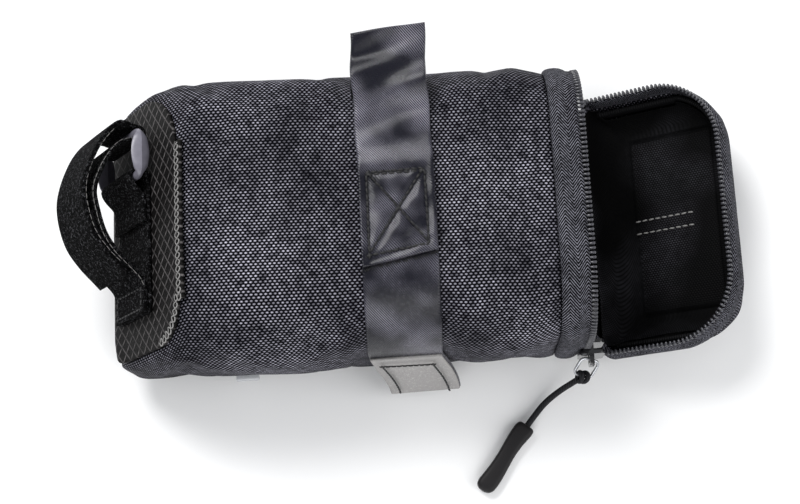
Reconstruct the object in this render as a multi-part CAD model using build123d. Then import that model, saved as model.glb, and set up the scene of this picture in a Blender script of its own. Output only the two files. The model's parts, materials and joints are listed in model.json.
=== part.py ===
from build123d import *
import math
import os

# A small saddle bag: padded fabric body, zipped rear flap that opens about its lower edge, a seatpost
# strap with a ring on the sloping front panel, and a pair of hook-and-loop rail straps on top.
# Millimetres. +X is the zipped rear end, +Y the far side, +Z up. The origin is on the base's flat
# rest face, midway across the bag and straight below the middle of the rail straps.

# Body size and outline
BAG_WIDTH = 94.0
BAG_HEIGHT = 66.5
TOP_FRONT_X = -70.0
FRONT_SLOPE_DEG = 57.8
NOSE_Z = 13.0
CHIN_RUN = 16.7
BASE_REAR_X = 21.0
TAIL_RISE_DEG = 15.0
HINGE_X = 64.0
FLAP_DEPTH = 20.0
BROW_R = 8.0
NOSE_R = 14.0
CHIN_R = 20.0
TAIL_R = 40.0
FLAP_END_R = 15.0
CROWN_R = 8.0
TOP_CORNER_R = 24.0
BASE_CORNER_R = 14.0
TAIL_CORNER_R = 8.0
TAIL_CORNER_EASE = 1.0
PLAN_CORNER_R = 15.0
FLAP_OPEN_DEG = 60.0

# Fabric layers, from the outside in
FABRIC_T = 1.2
TAPE_T = 1.0
BINDING_T = 1.8
FOAM_T = 1.9
LINING_T = 0.5
LAYER_GAP = 0.1
PANEL_T = 1.6
PANEL_INSET = 3.5
PANEL_LENGTH = 53.0
PANEL_CORNER_R = 6.0
SEAM_RISE = 4.0
HINGE_SLOT = 0.3

# Zip
TAPE_WIDTH = 9.5
COIL_W = 1.6
COIL_T = 1.6
COIL_GAP = 1.7
BINDING_W = 6.0
BINDING_LAP = 2.0
STOP_LENGTH = 2.5
STOP_PROUD = 0.25
SLIDER_W = 8.8
SLIDER_LENGTH = 11.0
SLIDER_PLATE_T = 1.3
SLIDER_PARK_RISE = 0.6
SLIDER_CLEARANCE = 0.45
SLIDER_CORNER_R = 1.76
POST_W = 1.1
BRIDGE_W = 1.6
BRIDGE_T = 1.0
BRIDGE_GAP = 2.4
BRIDGE_LENGTH = 6.4
BRIDGE_END = 1.1
RING_WIRE_D = 1.1
PULL_RING_W = 7.6
PULL_RING_LENGTH = 8.6
PULL_RING_CORNER_R = 1.9
PULL_RING_SWING_DEG = 42.0
PULL_RING_LEAN_DEG = 26.0

# Pull cord and its moulded grip
CORD_D = 2.2
GRIP_W = 7.0
GRIP_T = 5.0
GRIP_LENGTH = 28.0
GRIP_SOCKET = 4.0
GRIP_WAIST = 0.8
GRIP_WAIST_AT = 0.45
GRIP_SIDE_R = 30.0
GRIP_END_R = 2.98
GRIP_SHOULDER_R = 1.0
GRIP_EDGE_R = 0.9
CORD_ROUTE = [
    (60.2, -55.2, 16.0),
    (57.2, -56.2, 11.0),
    (53.2, -57.9, 5.8),
    (48.7, -60.9, 3.1),
    (44.3, -65.6, 2.9),
    (39.2, -72.0, 2.9),
]

# Webbing
WEBBING_W = 25.0
RAIL_WEBBING_T = 1.4
POST_WEBBING_T = 1.6
PATCH_T = 0.9
PATCH_EXTRA_W = 1.4
STRAP_GAP = 0.1
SPLIT_GAP = 0.4
BOX_STITCH_FAR_Y = 9.5
BOX_STITCH_NEAR_Y = -22.0
STRAP_STEP_START = 2.8
STRAP_STEP_RUN = 4.2
FAR_HINGE_Y = 30.0
FAR_END_Y = 56.5
FAR_WAVE = [(0.33, 3.6), (0.66, 2.0), (1.0, 4.0)]
FAR_WAVE_R = 14.0
FAR_PATCH_Y = (36.0, 47.0)
NEAR_HINGE_DEG = 35.0
NEAR_FLARE_Z = 30.0
NEAR_FLARE_R = 20.0
NEAR_END_Y = -54.0
NEAR_END_Z = 5.5
NEAR_PATCH_Z = (8.0, 38.0)
LIGHT_LOOP_W = 20.0
LIGHT_LOOP_Z = 38.5
LIGHT_LOOP_HALF = 30.0
LIGHT_LOOP_RISE = 1.0
LIGHT_LOOP_STITCH_HALF = 3.5
LIGHT_LOOP_RAMP = 4.5
LIGHT_LOOP_SEWN_END = 8.0
LIGHT_LOOP_BEND_R = 3.0
SIDE_TAB_X = -56.0
SIDE_TAB_W = 8.0
SIDE_TAB_Z = 7.0
SIDE_TAB_REACH = 2.4
SIDE_TAB_H = 1.5
SIDE_TAB_T = 0.5

# Seatpost strap, in the plane across the front panel: distance along Y and off the panel
STRAP_DOWN_SLOPE = 34.0
ANCHOR_Y = -31.0
ANCHOR_END_Y = -20.0
ANCHOR_BEND_R = 8.0
LOOP_ROUTE = [(-7.0, 18.5, 16.0), (9.0, 22.5, 14.0), (20.0, 18.5, 10.0)]
STRAP_RING_BAR = 3.2
STRAP_RING_PLAY = 1.6
STRAP_RING_LENGTH = WEBBING_W + STRAP_RING_PLAY + 2 * STRAP_RING_BAR
STRAP_RING_WIDTH = 18.0
STRAP_RING_Y = 23.5
STRAP_RING_OFF = 6.6
STRAP_RING_R = 2.5
RING_CLEARANCE = 0.35
TAB_RAMP_RUN = 5.3
TAB_TAIL_RUN = 7.95
FOLD_R = 1.5
TAIL_STEP = 1.5
TAIL_END_SHARE = 0.7
PATCH_RUN = 12.0

slope = math.radians(FRONT_SLOPE_DEG)
rise = math.radians(TAIL_RISE_DEG)
nose_x = TOP_FRONT_X - (BAG_HEIGHT - NOSE_Z) / math.tan(slope)
chin_x = nose_x + CHIN_RUN
hinge_z = (HINGE_X - BASE_REAR_X) * math.tan(rise)
flap_end_x = HINGE_X + FLAP_DEPTH
flap_end_z = (flap_end_x - BASE_REAR_X) * math.tan(rise)
half_width = BAG_WIDTH / 2
FAR_AWAY = 400.0

SIDE_CORNERS = [
    (chin_x, 0, CHIN_R),
    (BASE_REAR_X, 0, TAIL_R),
    (flap_end_x, flap_end_z, FLAP_END_R),
    (flap_end_x, BAG_HEIGHT, CROWN_R),
    (TOP_FRONT_X, BAG_HEIGHT, BROW_R),
    (nose_x, NOSE_Z, NOSE_R),
]
SECTION_CORNERS = [
    (-half_width, 0, BASE_CORNER_R),
    (half_width, 0, BASE_CORNER_R),
    (half_width, BAG_HEIGHT, TOP_CORNER_R),
    (-half_width, BAG_HEIGHT, TOP_CORNER_R),
]
tail_half = half_width + TAIL_CORNER_EASE
TAIL_CORNERS = [
    (-tail_half, 0, TAIL_CORNER_R),
    (tail_half, 0, TAIL_CORNER_R),
    (tail_half, FAR_AWAY, 0),
    (-tail_half, FAR_AWAY, 0),
]
PLAN_CORNERS = [
    (nose_x, -half_width, PLAN_CORNER_R),
    (flap_end_x, -half_width, PLAN_CORNER_R),
    (flap_end_x, half_width, PLAN_CORNER_R),
    (nose_x, half_width, PLAN_CORNER_R),
]

panel_plane = Plane(
    origin=(
        TOP_FRONT_X - STRAP_DOWN_SLOPE * math.cos(slope),
        0,
        BAG_HEIGHT - STRAP_DOWN_SLOPE * math.sin(slope),
    ),
    x_dir=(0, 1, 0),
    z_dir=(math.cos(slope), 0, math.sin(slope)),
)
tail_plane = Plane(
    origin=(BASE_REAR_X, 0, 0), x_dir=(0, 1, 0), z_dir=(math.cos(rise), 0, math.sin(rise))
)


def shifted(points, distance, closed):
    """Corner points and radii of a route moved to its left by a distance."""
    moved = []
    last = len(points) - 1
    for index, (x, y, radius) in enumerate(points):
        here = Vector(x, y)
        before = Vector(*points[index - 1][:2]) if closed or index > 0 else None
        after = Vector(*points[(index + 1) % len(points)][:2]) if closed or index < last else None
        arrive = (here - before).normalized() if before is not None else (after - here).normalized()
        leave = (after - here).normalized() if after is not None else arrive
        left_in = arrive.rotate(Axis.Z, 90)
        left_out = leave.rotate(Axis.Z, 90)
        move = (left_in + left_out) * (distance / (1 + left_in.dot(left_out)))
        turns_left = arrive.cross(leave).Z > 0
        new_radius = radius - distance if turns_left else radius + distance
        moved.append((x + move.X, y + move.Y, max(new_radius, 0) if radius > 0 else 0))
    return moved


def closed_face(points):
    """Face inside a closed outline of (x, y, radius) corners."""
    corners = [(x, y) for x, y, _ in points]
    radii = [radius for _, _, radius in points]
    return make_face(FilletPolyline(*corners, radius=radii, close=True).edges())


def outline(corners, inset=0.0):
    """Face inside an anticlockwise outline, drawn in by an inset."""
    return closed_face(shifted(corners, inset, closed=True))


def band(route, thickness):
    """Face of a strip of constant thickness along an open route."""
    left = shifted(route, thickness / 2, closed=False)
    right = shifted(route, -thickness / 2, closed=False)
    return closed_face(right + left[::-1])


def bag_form(inset):
    """The whole closed bag, body and flap together, drawn in by an inset."""
    side = extrude(Plane.XZ * outline(SIDE_CORNERS, inset), BAG_WIDTH, both=True)
    section = extrude(Plane.YZ * outline(SECTION_CORNERS, inset), FAR_AWAY, both=True)
    tail = extrude(tail_plane * outline(TAIL_CORNERS, inset), FAR_AWAY, both=True)
    plan = extrude(outline(PLAN_CORNERS, inset), FAR_AWAY)
    return side & plan & section & tail


def layer(outer, thickness):
    """A shell of the bag's form between two insets."""
    return bag_form(outer) - bag_form(outer + thickness)


def slab(start_x, end_x):
    """Everything between two places along the bag."""
    return Pos((start_x + end_x) / 2, 0, 0) * Box(end_x - start_x, FAR_AWAY, FAR_AWAY)


def above_seam():
    """The space above the base seam and behind the front seam."""
    chin, tail, nose = SIDE_CORNERS[0], SIDE_CORNERS[1], SIDE_CORNERS[-1]
    raised = [
        chin,
        tail,
        (FAR_AWAY, (FAR_AWAY - BASE_REAR_X) * math.tan(rise), 0),
        (FAR_AWAY, FAR_AWAY, 0),
        (TOP_FRONT_X + (FAR_AWAY - BAG_HEIGHT) / math.tan(slope), FAR_AWAY, 0),
        nose,
    ]
    return extrude(Plane.XZ * outline(raised, SEAM_RISE), BAG_WIDTH, both=True)


def opened(shape):
    """A flap piece drawn closed, turned down about the hinge to its open rest pose."""
    return shape.rotate(Axis((HINGE_X, 0, hinge_z), (0, 1, 0)), FLAP_OPEN_DEG)


# Height above the hinge at which the tail's rounded edge meets the upright side wall
edge_reach = TAIL_CORNER_R - TAIL_CORNER_EASE
wall_rise = (TAIL_CORNER_R - math.sqrt(TAIL_CORNER_R**2 - edge_reach**2)) / math.cos(rise)

# Where the zip's pieces start and end along the bag
coil_end_x = HINGE_X - COIL_GAP / 2
coil_start_x = coil_end_x - COIL_W
tape_end_x = coil_start_x - LAYER_GAP
tape_start_x = tape_end_x - TAPE_WIDTH
flap_coil_start_x = HINGE_X + COIL_GAP / 2
flap_coil_end_x = flap_coil_start_x + COIL_W
flap_tape_start_x = flap_coil_end_x + LAYER_GAP
flap_tape_end_x = flap_tape_start_x + TAPE_WIDTH
shell_end_x = tape_start_x - 2 * LAYER_GAP
binding_start_x = shell_end_x - BINDING_LAP
binding_end_x = binding_start_x + BINDING_W
flap_shell_start_x = flap_tape_end_x + 2 * LAYER_GAP
flap_binding_end_x = flap_shell_start_x + BINDING_LAP
flap_binding_start_x = flap_binding_end_x - BINDING_W
inner_inset = FABRIC_T + LAYER_GAP
lining_inset = inner_inset + FOAM_T + LAYER_GAP
tape_inset = FABRIC_T - TAPE_T
before_bag = nose_x - FAR_AWAY
behind_bag = flap_end_x + FAR_AWAY

upper = above_seam()
fabric = layer(0, FABRIC_T)
tape_layer = layer(tape_inset, TAPE_T) & upper
binding_layer = layer(inner_inset, BINDING_T)
foam_layer = layer(inner_inset, FOAM_T)
lining_layer = layer(lining_inset, LINING_T)
coil_layer = layer(0, COIL_T) & upper
stop_layer = layer(-STOP_PROUD, COIL_T + 2 * STOP_PROUD) & upper

# The zip's stops sit on its far end, where the two coils begin
stop_top_z = hinge_z + SEAM_RISE / math.cos(rise) + STOP_LENGTH
stop_space = Pos(HINGE_X, half_width, stop_top_z - FAR_AWAY / 2) * Box(2 * FLAP_DEPTH, BAG_WIDTH, FAR_AWAY)

parts = {}


def body_pieces():
    """The padded body, its zip tape and its front panel."""
    parts["body_shell"] = fabric & upper & slab(before_bag, shell_end_x)
    parts["base_panel"] = (fabric - upper) & slab(before_bag, HINGE_X - HINGE_SLOT)
    parts["body_foam"] = foam_layer & slab(before_bag, binding_start_x - LAYER_GAP)
    parts["body_lining"] = lining_layer & slab(before_bag, binding_start_x + BINDING_LAP / 2)
    parts["body_binding"] = binding_layer & slab(binding_start_x, binding_end_x)
    parts["body_zip_tape"] = tape_layer & slab(tape_start_x, tape_end_x)
    coil = coil_layer & slab(coil_start_x, coil_end_x)
    parts["body_zip_coil"] = coil - stop_space
    parts["body_zip_stop"] = stop_layer & slab(coil_start_x, coil_end_x) & stop_space
    down = STRAP_DOWN_SLOPE
    panel_width = BAG_WIDTH - 2 * PANEL_INSET
    panel_corners = [
        (-panel_width / 2, down - PANEL_LENGTH, PANEL_CORNER_R),
        (panel_width / 2, down - PANEL_LENGTH, PANEL_CORNER_R),
        (panel_width / 2, down, 0),
        (-panel_width / 2, down, 0),
    ]
    face_plane = Plane(origin=panel_plane.origin, x_dir=(0, -1, 0), z_dir=panel_plane.y_dir)
    plate = extrude(face_plane * outline(panel_corners), PANEL_T + LAYER_GAP)
    plate -= extrude(face_plane * outline(panel_corners), LAYER_GAP)
    section = extrude(Plane.YZ * outline(SECTION_CORNERS, PANEL_INSET), FAR_AWAY, both=True)
    parts["front_panel"] = plate & section
    tab_top_z = SIDE_TAB_Z + SIDE_TAB_H
    wall_y = half_width - BASE_CORNER_R + math.sqrt(BASE_CORNER_R**2 - (BASE_CORNER_R - tab_top_z) ** 2)
    tab_y = -wall_y - LAYER_GAP
    tab_route = [
        (tab_y, tab_top_z, 0),
        (tab_y - SIDE_TAB_REACH, tab_top_z, SIDE_TAB_T),
        (tab_y - SIDE_TAB_REACH, SIDE_TAB_Z, SIDE_TAB_T),
        (tab_y, SIDE_TAB_Z, 0),
    ]
    tab = extrude(Plane.YZ * band(tab_route, SIDE_TAB_T), SIDE_TAB_W / 2, both=True)
    parts["side_tab"] = Pos(SIDE_TAB_X, 0, 0) * tab


def flap_pieces():
    """The rear flap: end cap, zip tape, foam, lining and the light loop sewn across it."""
    whole = slab(HINGE_X + HINGE_SLOT, behind_bag)
    zip_band = upper & slab(HINGE_X, flap_shell_start_x)
    parts["flap_cap"] = opened((fabric & whole) - zip_band)
    parts["flap_zip_tape"] = opened(tape_layer & slab(flap_tape_start_x, flap_tape_end_x))
    coil = coil_layer & slab(flap_coil_start_x, flap_coil_end_x)
    parts["flap_zip_coil"] = opened(coil - stop_space)
    parts["flap_zip_stop"] = opened(stop_layer & slab(flap_coil_start_x, flap_coil_end_x) & stop_space)
    binding = binding_layer & slab(flap_binding_start_x, flap_binding_end_x)
    parts["flap_binding"] = opened(binding)
    parts["flap_foam"] = opened(foam_layer & slab(flap_binding_end_x + LAYER_GAP, behind_bag))
    parts["flap_lining"] = opened(lining_layer & slab(flap_shell_start_x, behind_bag))
    flat_x = flap_end_x + LAYER_GAP + RAIL_WEBBING_T / 2
    raised_x = flat_x + LIGHT_LOOP_RISE
    ramp_end = LIGHT_LOOP_STITCH_HALF + LIGHT_LOOP_RAMP
    sewn_start = LIGHT_LOOP_HALF - LIGHT_LOOP_SEWN_END
    far_side = [
        (flat_x, LIGHT_LOOP_STITCH_HALF, LIGHT_LOOP_BEND_R),
        (raised_x, ramp_end, LIGHT_LOOP_BEND_R),
        (raised_x, sewn_start - LIGHT_LOOP_RAMP, LIGHT_LOOP_BEND_R),
        (flat_x, sewn_start, LIGHT_LOOP_BEND_R),
        (flat_x, LIGHT_LOOP_HALF, 0),
    ]
    near_side = [(x, -y, radius) for x, y, radius in far_side[::-1]]
    loop = extrude(band(near_side + far_side, RAIL_WEBBING_T), LIGHT_LOOP_W / 2, both=True)
    parts["light_loop"] = opened(Pos(0, 0, LIGHT_LOOP_Z) * loop)


def slider_pieces():
    """The zip slider on the near wall, its ring, the pull cord and the moulded grip."""
    outer_face_y = -half_width - SLIDER_CLEARANCE
    inner_face_y = -half_width + COIL_T + SLIDER_CLEARANCE
    mid_z = hinge_z + wall_rise + SLIDER_PARK_RISE + SLIDER_LENGTH / 2
    outer_y = outer_face_y - SLIDER_PLATE_T / 2
    inner_y = inner_face_y + SLIDER_PLATE_T / 2
    plate = Box(SLIDER_W, SLIDER_PLATE_T, SLIDER_LENGTH)
    plate = fillet(plate.edges().filter_by(Axis.Y), SLIDER_CORNER_R)
    post = Box(POST_W, inner_y - outer_y, SLIDER_LENGTH / 2)
    slider = Pos(HINGE_X, outer_y, mid_z) * plate + Pos(HINGE_X, inner_y, mid_z) * plate
    slider += Pos(HINGE_X, (outer_y + inner_y) / 2, mid_z + SLIDER_LENGTH / 4) * post
    plate_face_y = outer_face_y - SLIDER_PLATE_T
    bridge = Box(BRIDGE_W, BRIDGE_GAP + BRIDGE_T, BRIDGE_LENGTH)
    bridge = fillet(bridge.edges().filter_by(Axis.X).group_by(Axis.Y)[0], BRIDGE_T)
    bridge -= Pos(0, BRIDGE_T / 2, 0) * Box(BRIDGE_W, BRIDGE_GAP, BRIDGE_LENGTH - 2 * BRIDGE_END)
    slider += Pos(HINGE_X, plate_face_y - (BRIDGE_GAP + BRIDGE_T) / 2, mid_z) * bridge
    parts["zip_slider"] = slider

    pin_y = plate_face_y - BRIDGE_GAP / 2
    half = (PULL_RING_W - RING_WIRE_D) / 2
    length = PULL_RING_LENGTH - RING_WIRE_D
    ring_corners = [(-half, 0), (half, 0), (half, -length), (-half, -length)]
    ring_route = FilletPolyline(*ring_corners, radius=PULL_RING_CORNER_R, close=True)
    start = ring_route.edges().sort_by(Axis.Y)[-1]
    profile = Plane(origin=start @ 0.5, z_dir=start % 0.5) * Circle(RING_WIRE_D / 2)
    ring = sweep(profile, path=Wire(ring_route.edges()))
    ring = Rot(0, 0, -PULL_RING_LEAN_DEG) * ring
    ring = Rot(90 - PULL_RING_SWING_DEG, 0, 0) * ring
    parts["pull_ring"] = Pos(HINGE_X, pin_y, mid_z) * ring
    print("pull pivot", HINGE_X, pin_y, mid_z, "ring", parts["pull_ring"].bounding_box())

    cord_end = Vector(*CORD_ROUTE[-1])
    heading = (cord_end - Vector(*CORD_ROUTE[-2])).normalized()
    grip_plane = Plane(
        origin=cord_end - heading * GRIP_SOCKET, x_dir=heading.cross(Vector(0, 0, 1)), z_dir=(0, 0, 1)
    )
    half_grip = GRIP_W / 2
    waist_y = GRIP_LENGTH * GRIP_WAIST_AT
    grip_points = [
        (-half_grip, 0, GRIP_SHOULDER_R),
        (-half_grip * GRIP_WAIST, waist_y, GRIP_SIDE_R),
        (-half_grip, GRIP_LENGTH, GRIP_END_R),
        (half_grip, GRIP_LENGTH, GRIP_END_R),
        (half_grip * GRIP_WAIST, waist_y, GRIP_SIDE_R),
        (half_grip, 0, GRIP_SHOULDER_R),
    ]
    grip = extrude(closed_face(grip_points), GRIP_T / 2, both=True)
    grip_faces = grip.faces().sort_by(Axis.Z)
    grip = fillet(grip_faces[-1].edges() + grip_faces[0].edges(), GRIP_EDGE_R)
    socket = Rot(-90, 0, 0) * Cylinder(CORD_D / 2 + LAYER_GAP, 2 * (GRIP_SOCKET + LAYER_GAP))
    parts["pull_grip"] = grip_plane * (grip - socket)


def route_radii(points):
    """The largest arc at each corner of a cord's route that its two runs allow."""
    radii = []
    for before, here, after in zip(points, points[1:], points[2:]):
        arrive = Vector(*here) - Vector(*before)
        leave = Vector(*after) - Vector(*here)
        half_turn = math.radians(arrive.get_angle(leave)) / 2
        radii.append(0.45 * min(arrive.length, leave.length) / math.tan(half_turn))
    return radii


def cord_piece():
    """The pull cord, from the ring to the bottom of the grip's socket."""
    radii = route_radii(CORD_ROUTE)
    path = FilletPolyline(*CORD_ROUTE, radius=radii)
    profile = Plane(origin=path @ 0, z_dir=path % 0) * Circle(CORD_D / 2)
    cord = sweep(profile, path=path)
    parts["pull_cord"] = cord
    section = math.pi * CORD_D**2 / 4
    print("cord radii", [round(r, 1) for r in radii], "length", round(path.length, 1))
    print("cord volume over section times length", round(cord.volume / (section * path.length), 4))


def rail_strap_pieces():
    """The two hook-and-loop rail straps, sewn one over the other in the middle of the top."""
    thick = RAIL_WEBBING_T
    low_z = BAG_HEIGHT + STRAP_GAP + thick / 2
    high_z = low_z + thick + STRAP_GAP
    far_route = [
        (BOX_STITCH_NEAR_Y, high_z, 0),
        (BOX_STITCH_FAR_Y + STRAP_STEP_START, high_z, thick),
        (BOX_STITCH_FAR_Y + STRAP_STEP_START + STRAP_STEP_RUN, low_z, thick),
        (FAR_HINGE_Y - SPLIT_GAP / 2, low_z, 0),
    ]
    near_r = TOP_CORNER_R + STRAP_GAP + thick / 2
    corner_y = -half_width + TOP_CORNER_R
    corner_z = BAG_HEIGHT - TOP_CORNER_R

    def webbing(face, width):
        return extrude(Plane.YZ * face, width / 2, both=True)

    parts["rail_strap_far"] = webbing(band(far_route, thick), WEBBING_W)
    reach = FAR_END_Y - FAR_HINGE_Y
    free_route = [(FAR_HINGE_Y + SPLIT_GAP / 2, low_z, 0)]
    for share, wave_rise in FAR_WAVE:
        radius = FAR_WAVE_R if share < 1 else 0
        free_route.append((FAR_HINGE_Y + reach * share, low_z + wave_rise, radius))
    parts["rail_strap_far_end"] = webbing(band(free_route, thick), WEBBING_W)
    step = (thick + PATCH_T) / 2 + STRAP_GAP
    patch_space = Pos(0, sum(FAR_PATCH_Y) / 2, 0) * Box(
        FAR_AWAY, FAR_PATCH_Y[1] - FAR_PATCH_Y[0], FAR_AWAY
    )
    under = band(shifted(free_route, -step, closed=False), PATCH_T)
    parts["far_hook_patch"] = webbing(under, WEBBING_W + PATCH_EXTRA_W) & patch_space

    def corner_band(inner_r, outer_r, from_deg, to_deg):
        """Quarter ring of webbing round the near top corner, between two angles from upright."""
        ring = Circle(outer_r) - Circle(inner_r)
        sides = [math.radians(from_deg), math.radians(to_deg)]
        tips = [(-FAR_AWAY * math.sin(angle), FAR_AWAY * math.cos(angle)) for angle in sides]
        wedge = make_face(Polyline((0, 0), *tips, close=True).edges())
        return Pos(corner_y, corner_z) * (ring & wedge)

    inner_r = near_r - thick / 2
    outer_r = near_r + thick / 2
    split_deg = math.degrees(SPLIT_GAP / 2 / near_r)
    flat = Pos((BOX_STITCH_FAR_Y + corner_y) / 2, low_z) * Rectangle(BOX_STITCH_FAR_Y - corner_y, thick)
    near_face = flat + corner_band(inner_r, outer_r, 0, NEAR_HINGE_DEG - split_deg)
    parts["rail_strap_near"] = webbing(near_face, WEBBING_W)
    hang_y = corner_y - near_r
    hang_route = [
        (hang_y, corner_z, 0),
        (hang_y, NEAR_FLARE_Z, NEAR_FLARE_R),
        (NEAR_END_Y, NEAR_END_Z, 0),
    ]
    hanging = band(hang_route, thick)
    end_face = hanging + corner_band(inner_r, outer_r, NEAR_HINGE_DEG + split_deg, 90)
    parts["rail_strap_near_end"] = webbing(end_face, WEBBING_W)
    patch_space = Pos(0, 0, sum(NEAR_PATCH_Z) / 2) * Box(
        FAR_AWAY, FAR_AWAY, NEAR_PATCH_Z[1] - NEAR_PATCH_Z[0]
    )
    outside = band(shifted(hang_route, -step, closed=False), PATCH_T)
    parts["near_loop_patch"] = webbing(outside, WEBBING_W) & patch_space
    hinge = math.radians(NEAR_HINGE_DEG)
    print("near hinge", corner_y - outer_r * math.sin(hinge), corner_z + outer_r * math.cos(hinge))
    print("far hinge", FAR_HINGE_Y, low_z + thick / 2)


def seatpost_strap_pieces():
    """The ring, the tab that holds it, and the strap that goes through the ring and back."""
    panel_top = LAYER_GAP + PANEL_T
    tab_t = RAIL_WEBBING_T
    strap_t = POST_WEBBING_T
    tab_off = panel_top + STRAP_GAP + tab_t / 2
    anchor_off = tab_off + tab_t / 2 + STRAP_GAP + strap_t / 2
    bar_half = STRAP_RING_BAR / 2
    reach = STRAP_RING_WIDTH / 2 - bar_half
    inner_bar_y = STRAP_RING_Y - reach
    outer_bar_y = STRAP_RING_Y + reach
    tab_step = bar_half + RING_CLEARANCE + tab_t / 2
    strap_step = bar_half + RING_CLEARANCE + strap_t / 2

    ring_face = RectangleRounded(STRAP_RING_WIDTH, STRAP_RING_LENGTH, STRAP_RING_R)
    window = RectangleRounded(
        STRAP_RING_WIDTH - 2 * STRAP_RING_BAR, STRAP_RING_LENGTH - 2 * STRAP_RING_BAR, STRAP_RING_R / 2
    )
    ring = extrude(ring_face - window, bar_half, both=True)
    lie = Plane(
        origin=panel_plane.from_local_coords(Vector(STRAP_RING_Y, STRAP_RING_OFF, 0)),
        x_dir=(0, 1, 0),
        z_dir=panel_plane.y_dir,
    )
    parts["strap_ring"] = lie * ring

    tab_back = tab_off + tab_t + STRAP_GAP
    tab_route = [
        (ANCHOR_Y, tab_off, 0),
        (inner_bar_y + tab_step, tab_off, FOLD_R),
        (inner_bar_y + tab_step, STRAP_RING_OFF + tab_step, FOLD_R),
        (inner_bar_y - tab_step, STRAP_RING_OFF + tab_step, FOLD_R),
        (inner_bar_y - tab_step - TAB_RAMP_RUN, tab_back, FOLD_R),
        (inner_bar_y - tab_step - TAB_RAMP_RUN - TAB_TAIL_RUN, tab_back, 0),
    ]

    def webbing(route, thickness, width):
        return extrude(panel_plane * band(route, thickness), width / 2, both=True)

    parts["ring_tab"] = webbing(tab_route, tab_t, WEBBING_W)
    window_y = outer_bar_y - strap_step
    fold_y = outer_bar_y + strap_step
    under_off = STRAP_RING_OFF - strap_step
    over_off = STRAP_RING_OFF + strap_step
    strap_route = [
        (ANCHOR_Y, anchor_off, 0),
        (ANCHOR_END_Y, anchor_off, ANCHOR_BEND_R),
        *LOOP_ROUTE,
        (window_y, over_off + strap_t, FOLD_R * 2),
        (window_y, under_off, FOLD_R),
        (fold_y, under_off, FOLD_R),
        (fold_y, over_off + strap_t / 2, 0),
    ]
    parts["seatpost_strap"] = webbing(strap_route, strap_t, WEBBING_W)
    step = strap_t + TAIL_STEP
    last = Vector(*LOOP_ROUTE[0][:2])
    anchor = Vector(ANCHOR_END_Y, anchor_off)
    tail_tip = last + (anchor - last) * TAIL_END_SHARE
    outside = shifted([(tail_tip.X, tail_tip.Y, 0), *LOOP_ROUTE, (window_y, over_off, 0)], step, closed=False)
    tail_route = [
        (fold_y, over_off + strap_t / 2 + SPLIT_GAP, 0),
        (fold_y, over_off + 3 * strap_t, FOLD_R * 2),
        *outside[-2:0:-1],
        outside[0],
    ]
    parts["seatpost_strap_tail"] = webbing(tail_route, strap_t, WEBBING_W)
    inside = shifted(outside, -(strap_t / 2 + STRAP_GAP + PATCH_T / 2), closed=False)
    knee, after = Vector(*inside[1][:2]), Vector(*inside[2][:2])
    patch_end = knee + (after - knee).normalized() * PATCH_RUN
    patch_route = [*inside[:2], (patch_end.X, patch_end.Y, 0)]
    parts["tail_hook_patch"] = webbing(patch_route, PATCH_T, WEBBING_W)
    pivot_off = over_off + (strap_t + SPLIT_GAP) / 2
    pivot = panel_plane.from_local_coords(Vector(fold_y + strap_t / 2, pivot_off, 0))
    print("tail hinge", pivot, "along", panel_plane.z_dir)


body_pieces()
flap_pieces()
slider_pieces()
cord_piece()
rail_strap_pieces()
seatpost_strap_pieces()

os.makedirs("parts", exist_ok=True)
for name, shape in parts.items():
    export_step(shape, f"parts/{name}.step")
print("hinge", HINGE_X, hinge_z, "pieces", len(parts))
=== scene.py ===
import json
import math

import bmesh
import bpy
import numpy as np
from bpy.props import FloatProperty, FloatVectorProperty, IntProperty, PointerProperty
from mathutils import Matrix, Vector, noise
from mathutils.bvhtree import BVHTree


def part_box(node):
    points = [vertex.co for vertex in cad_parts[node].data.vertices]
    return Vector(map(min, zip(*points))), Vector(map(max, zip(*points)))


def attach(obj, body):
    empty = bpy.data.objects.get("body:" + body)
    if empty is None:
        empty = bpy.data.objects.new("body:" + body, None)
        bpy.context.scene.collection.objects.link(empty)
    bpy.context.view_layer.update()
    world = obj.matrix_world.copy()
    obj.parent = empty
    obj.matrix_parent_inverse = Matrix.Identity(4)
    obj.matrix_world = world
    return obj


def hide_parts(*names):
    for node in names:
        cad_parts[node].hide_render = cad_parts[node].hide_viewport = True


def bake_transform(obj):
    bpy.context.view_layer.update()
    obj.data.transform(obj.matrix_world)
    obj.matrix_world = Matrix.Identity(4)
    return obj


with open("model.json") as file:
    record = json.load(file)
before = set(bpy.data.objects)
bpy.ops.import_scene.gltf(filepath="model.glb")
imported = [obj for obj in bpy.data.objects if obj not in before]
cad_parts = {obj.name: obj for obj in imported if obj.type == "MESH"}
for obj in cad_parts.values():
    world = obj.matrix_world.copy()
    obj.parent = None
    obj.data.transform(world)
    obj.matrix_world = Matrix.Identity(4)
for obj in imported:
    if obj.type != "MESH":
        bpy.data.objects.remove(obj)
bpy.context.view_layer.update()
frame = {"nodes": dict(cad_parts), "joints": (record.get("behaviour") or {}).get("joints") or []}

bl_info = {
    "name": "Saddle Bag",
    "version": (1, 0, 0),
    "blender": (4, 5, 0),
    "location": "3D View > Sidebar > Saddle Bag",
    "description": "Builds the fabric, webbing, zip and stitching of a small saddle bag round its CAD frame",
    "category": "Object",
}

MM = 0.001
JOINTS = {joint["name"]: joint for joint in frame["joints"]}
X_AXIS = Vector((1, 0, 0))
Y_AXIS = Vector((0, 1, 0))

# The closed bag's flap is swung down about its hinge by this much at rest
HINGE = Vector(JOINTS["flap_hinge"]["pos_m"])
FLAP_OPEN = -math.radians(JOINTS["flap_hinge"]["range_deg"][0])


def about_hinge(angle):
    """Turn about the flap's hinge."""
    return Matrix.Translation(HINGE) @ Matrix.Rotation(angle, 4, "Y") @ Matrix.Translation(-HINGE)


FLAP_SWING = about_hinge(FLAP_OPEN)

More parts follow.
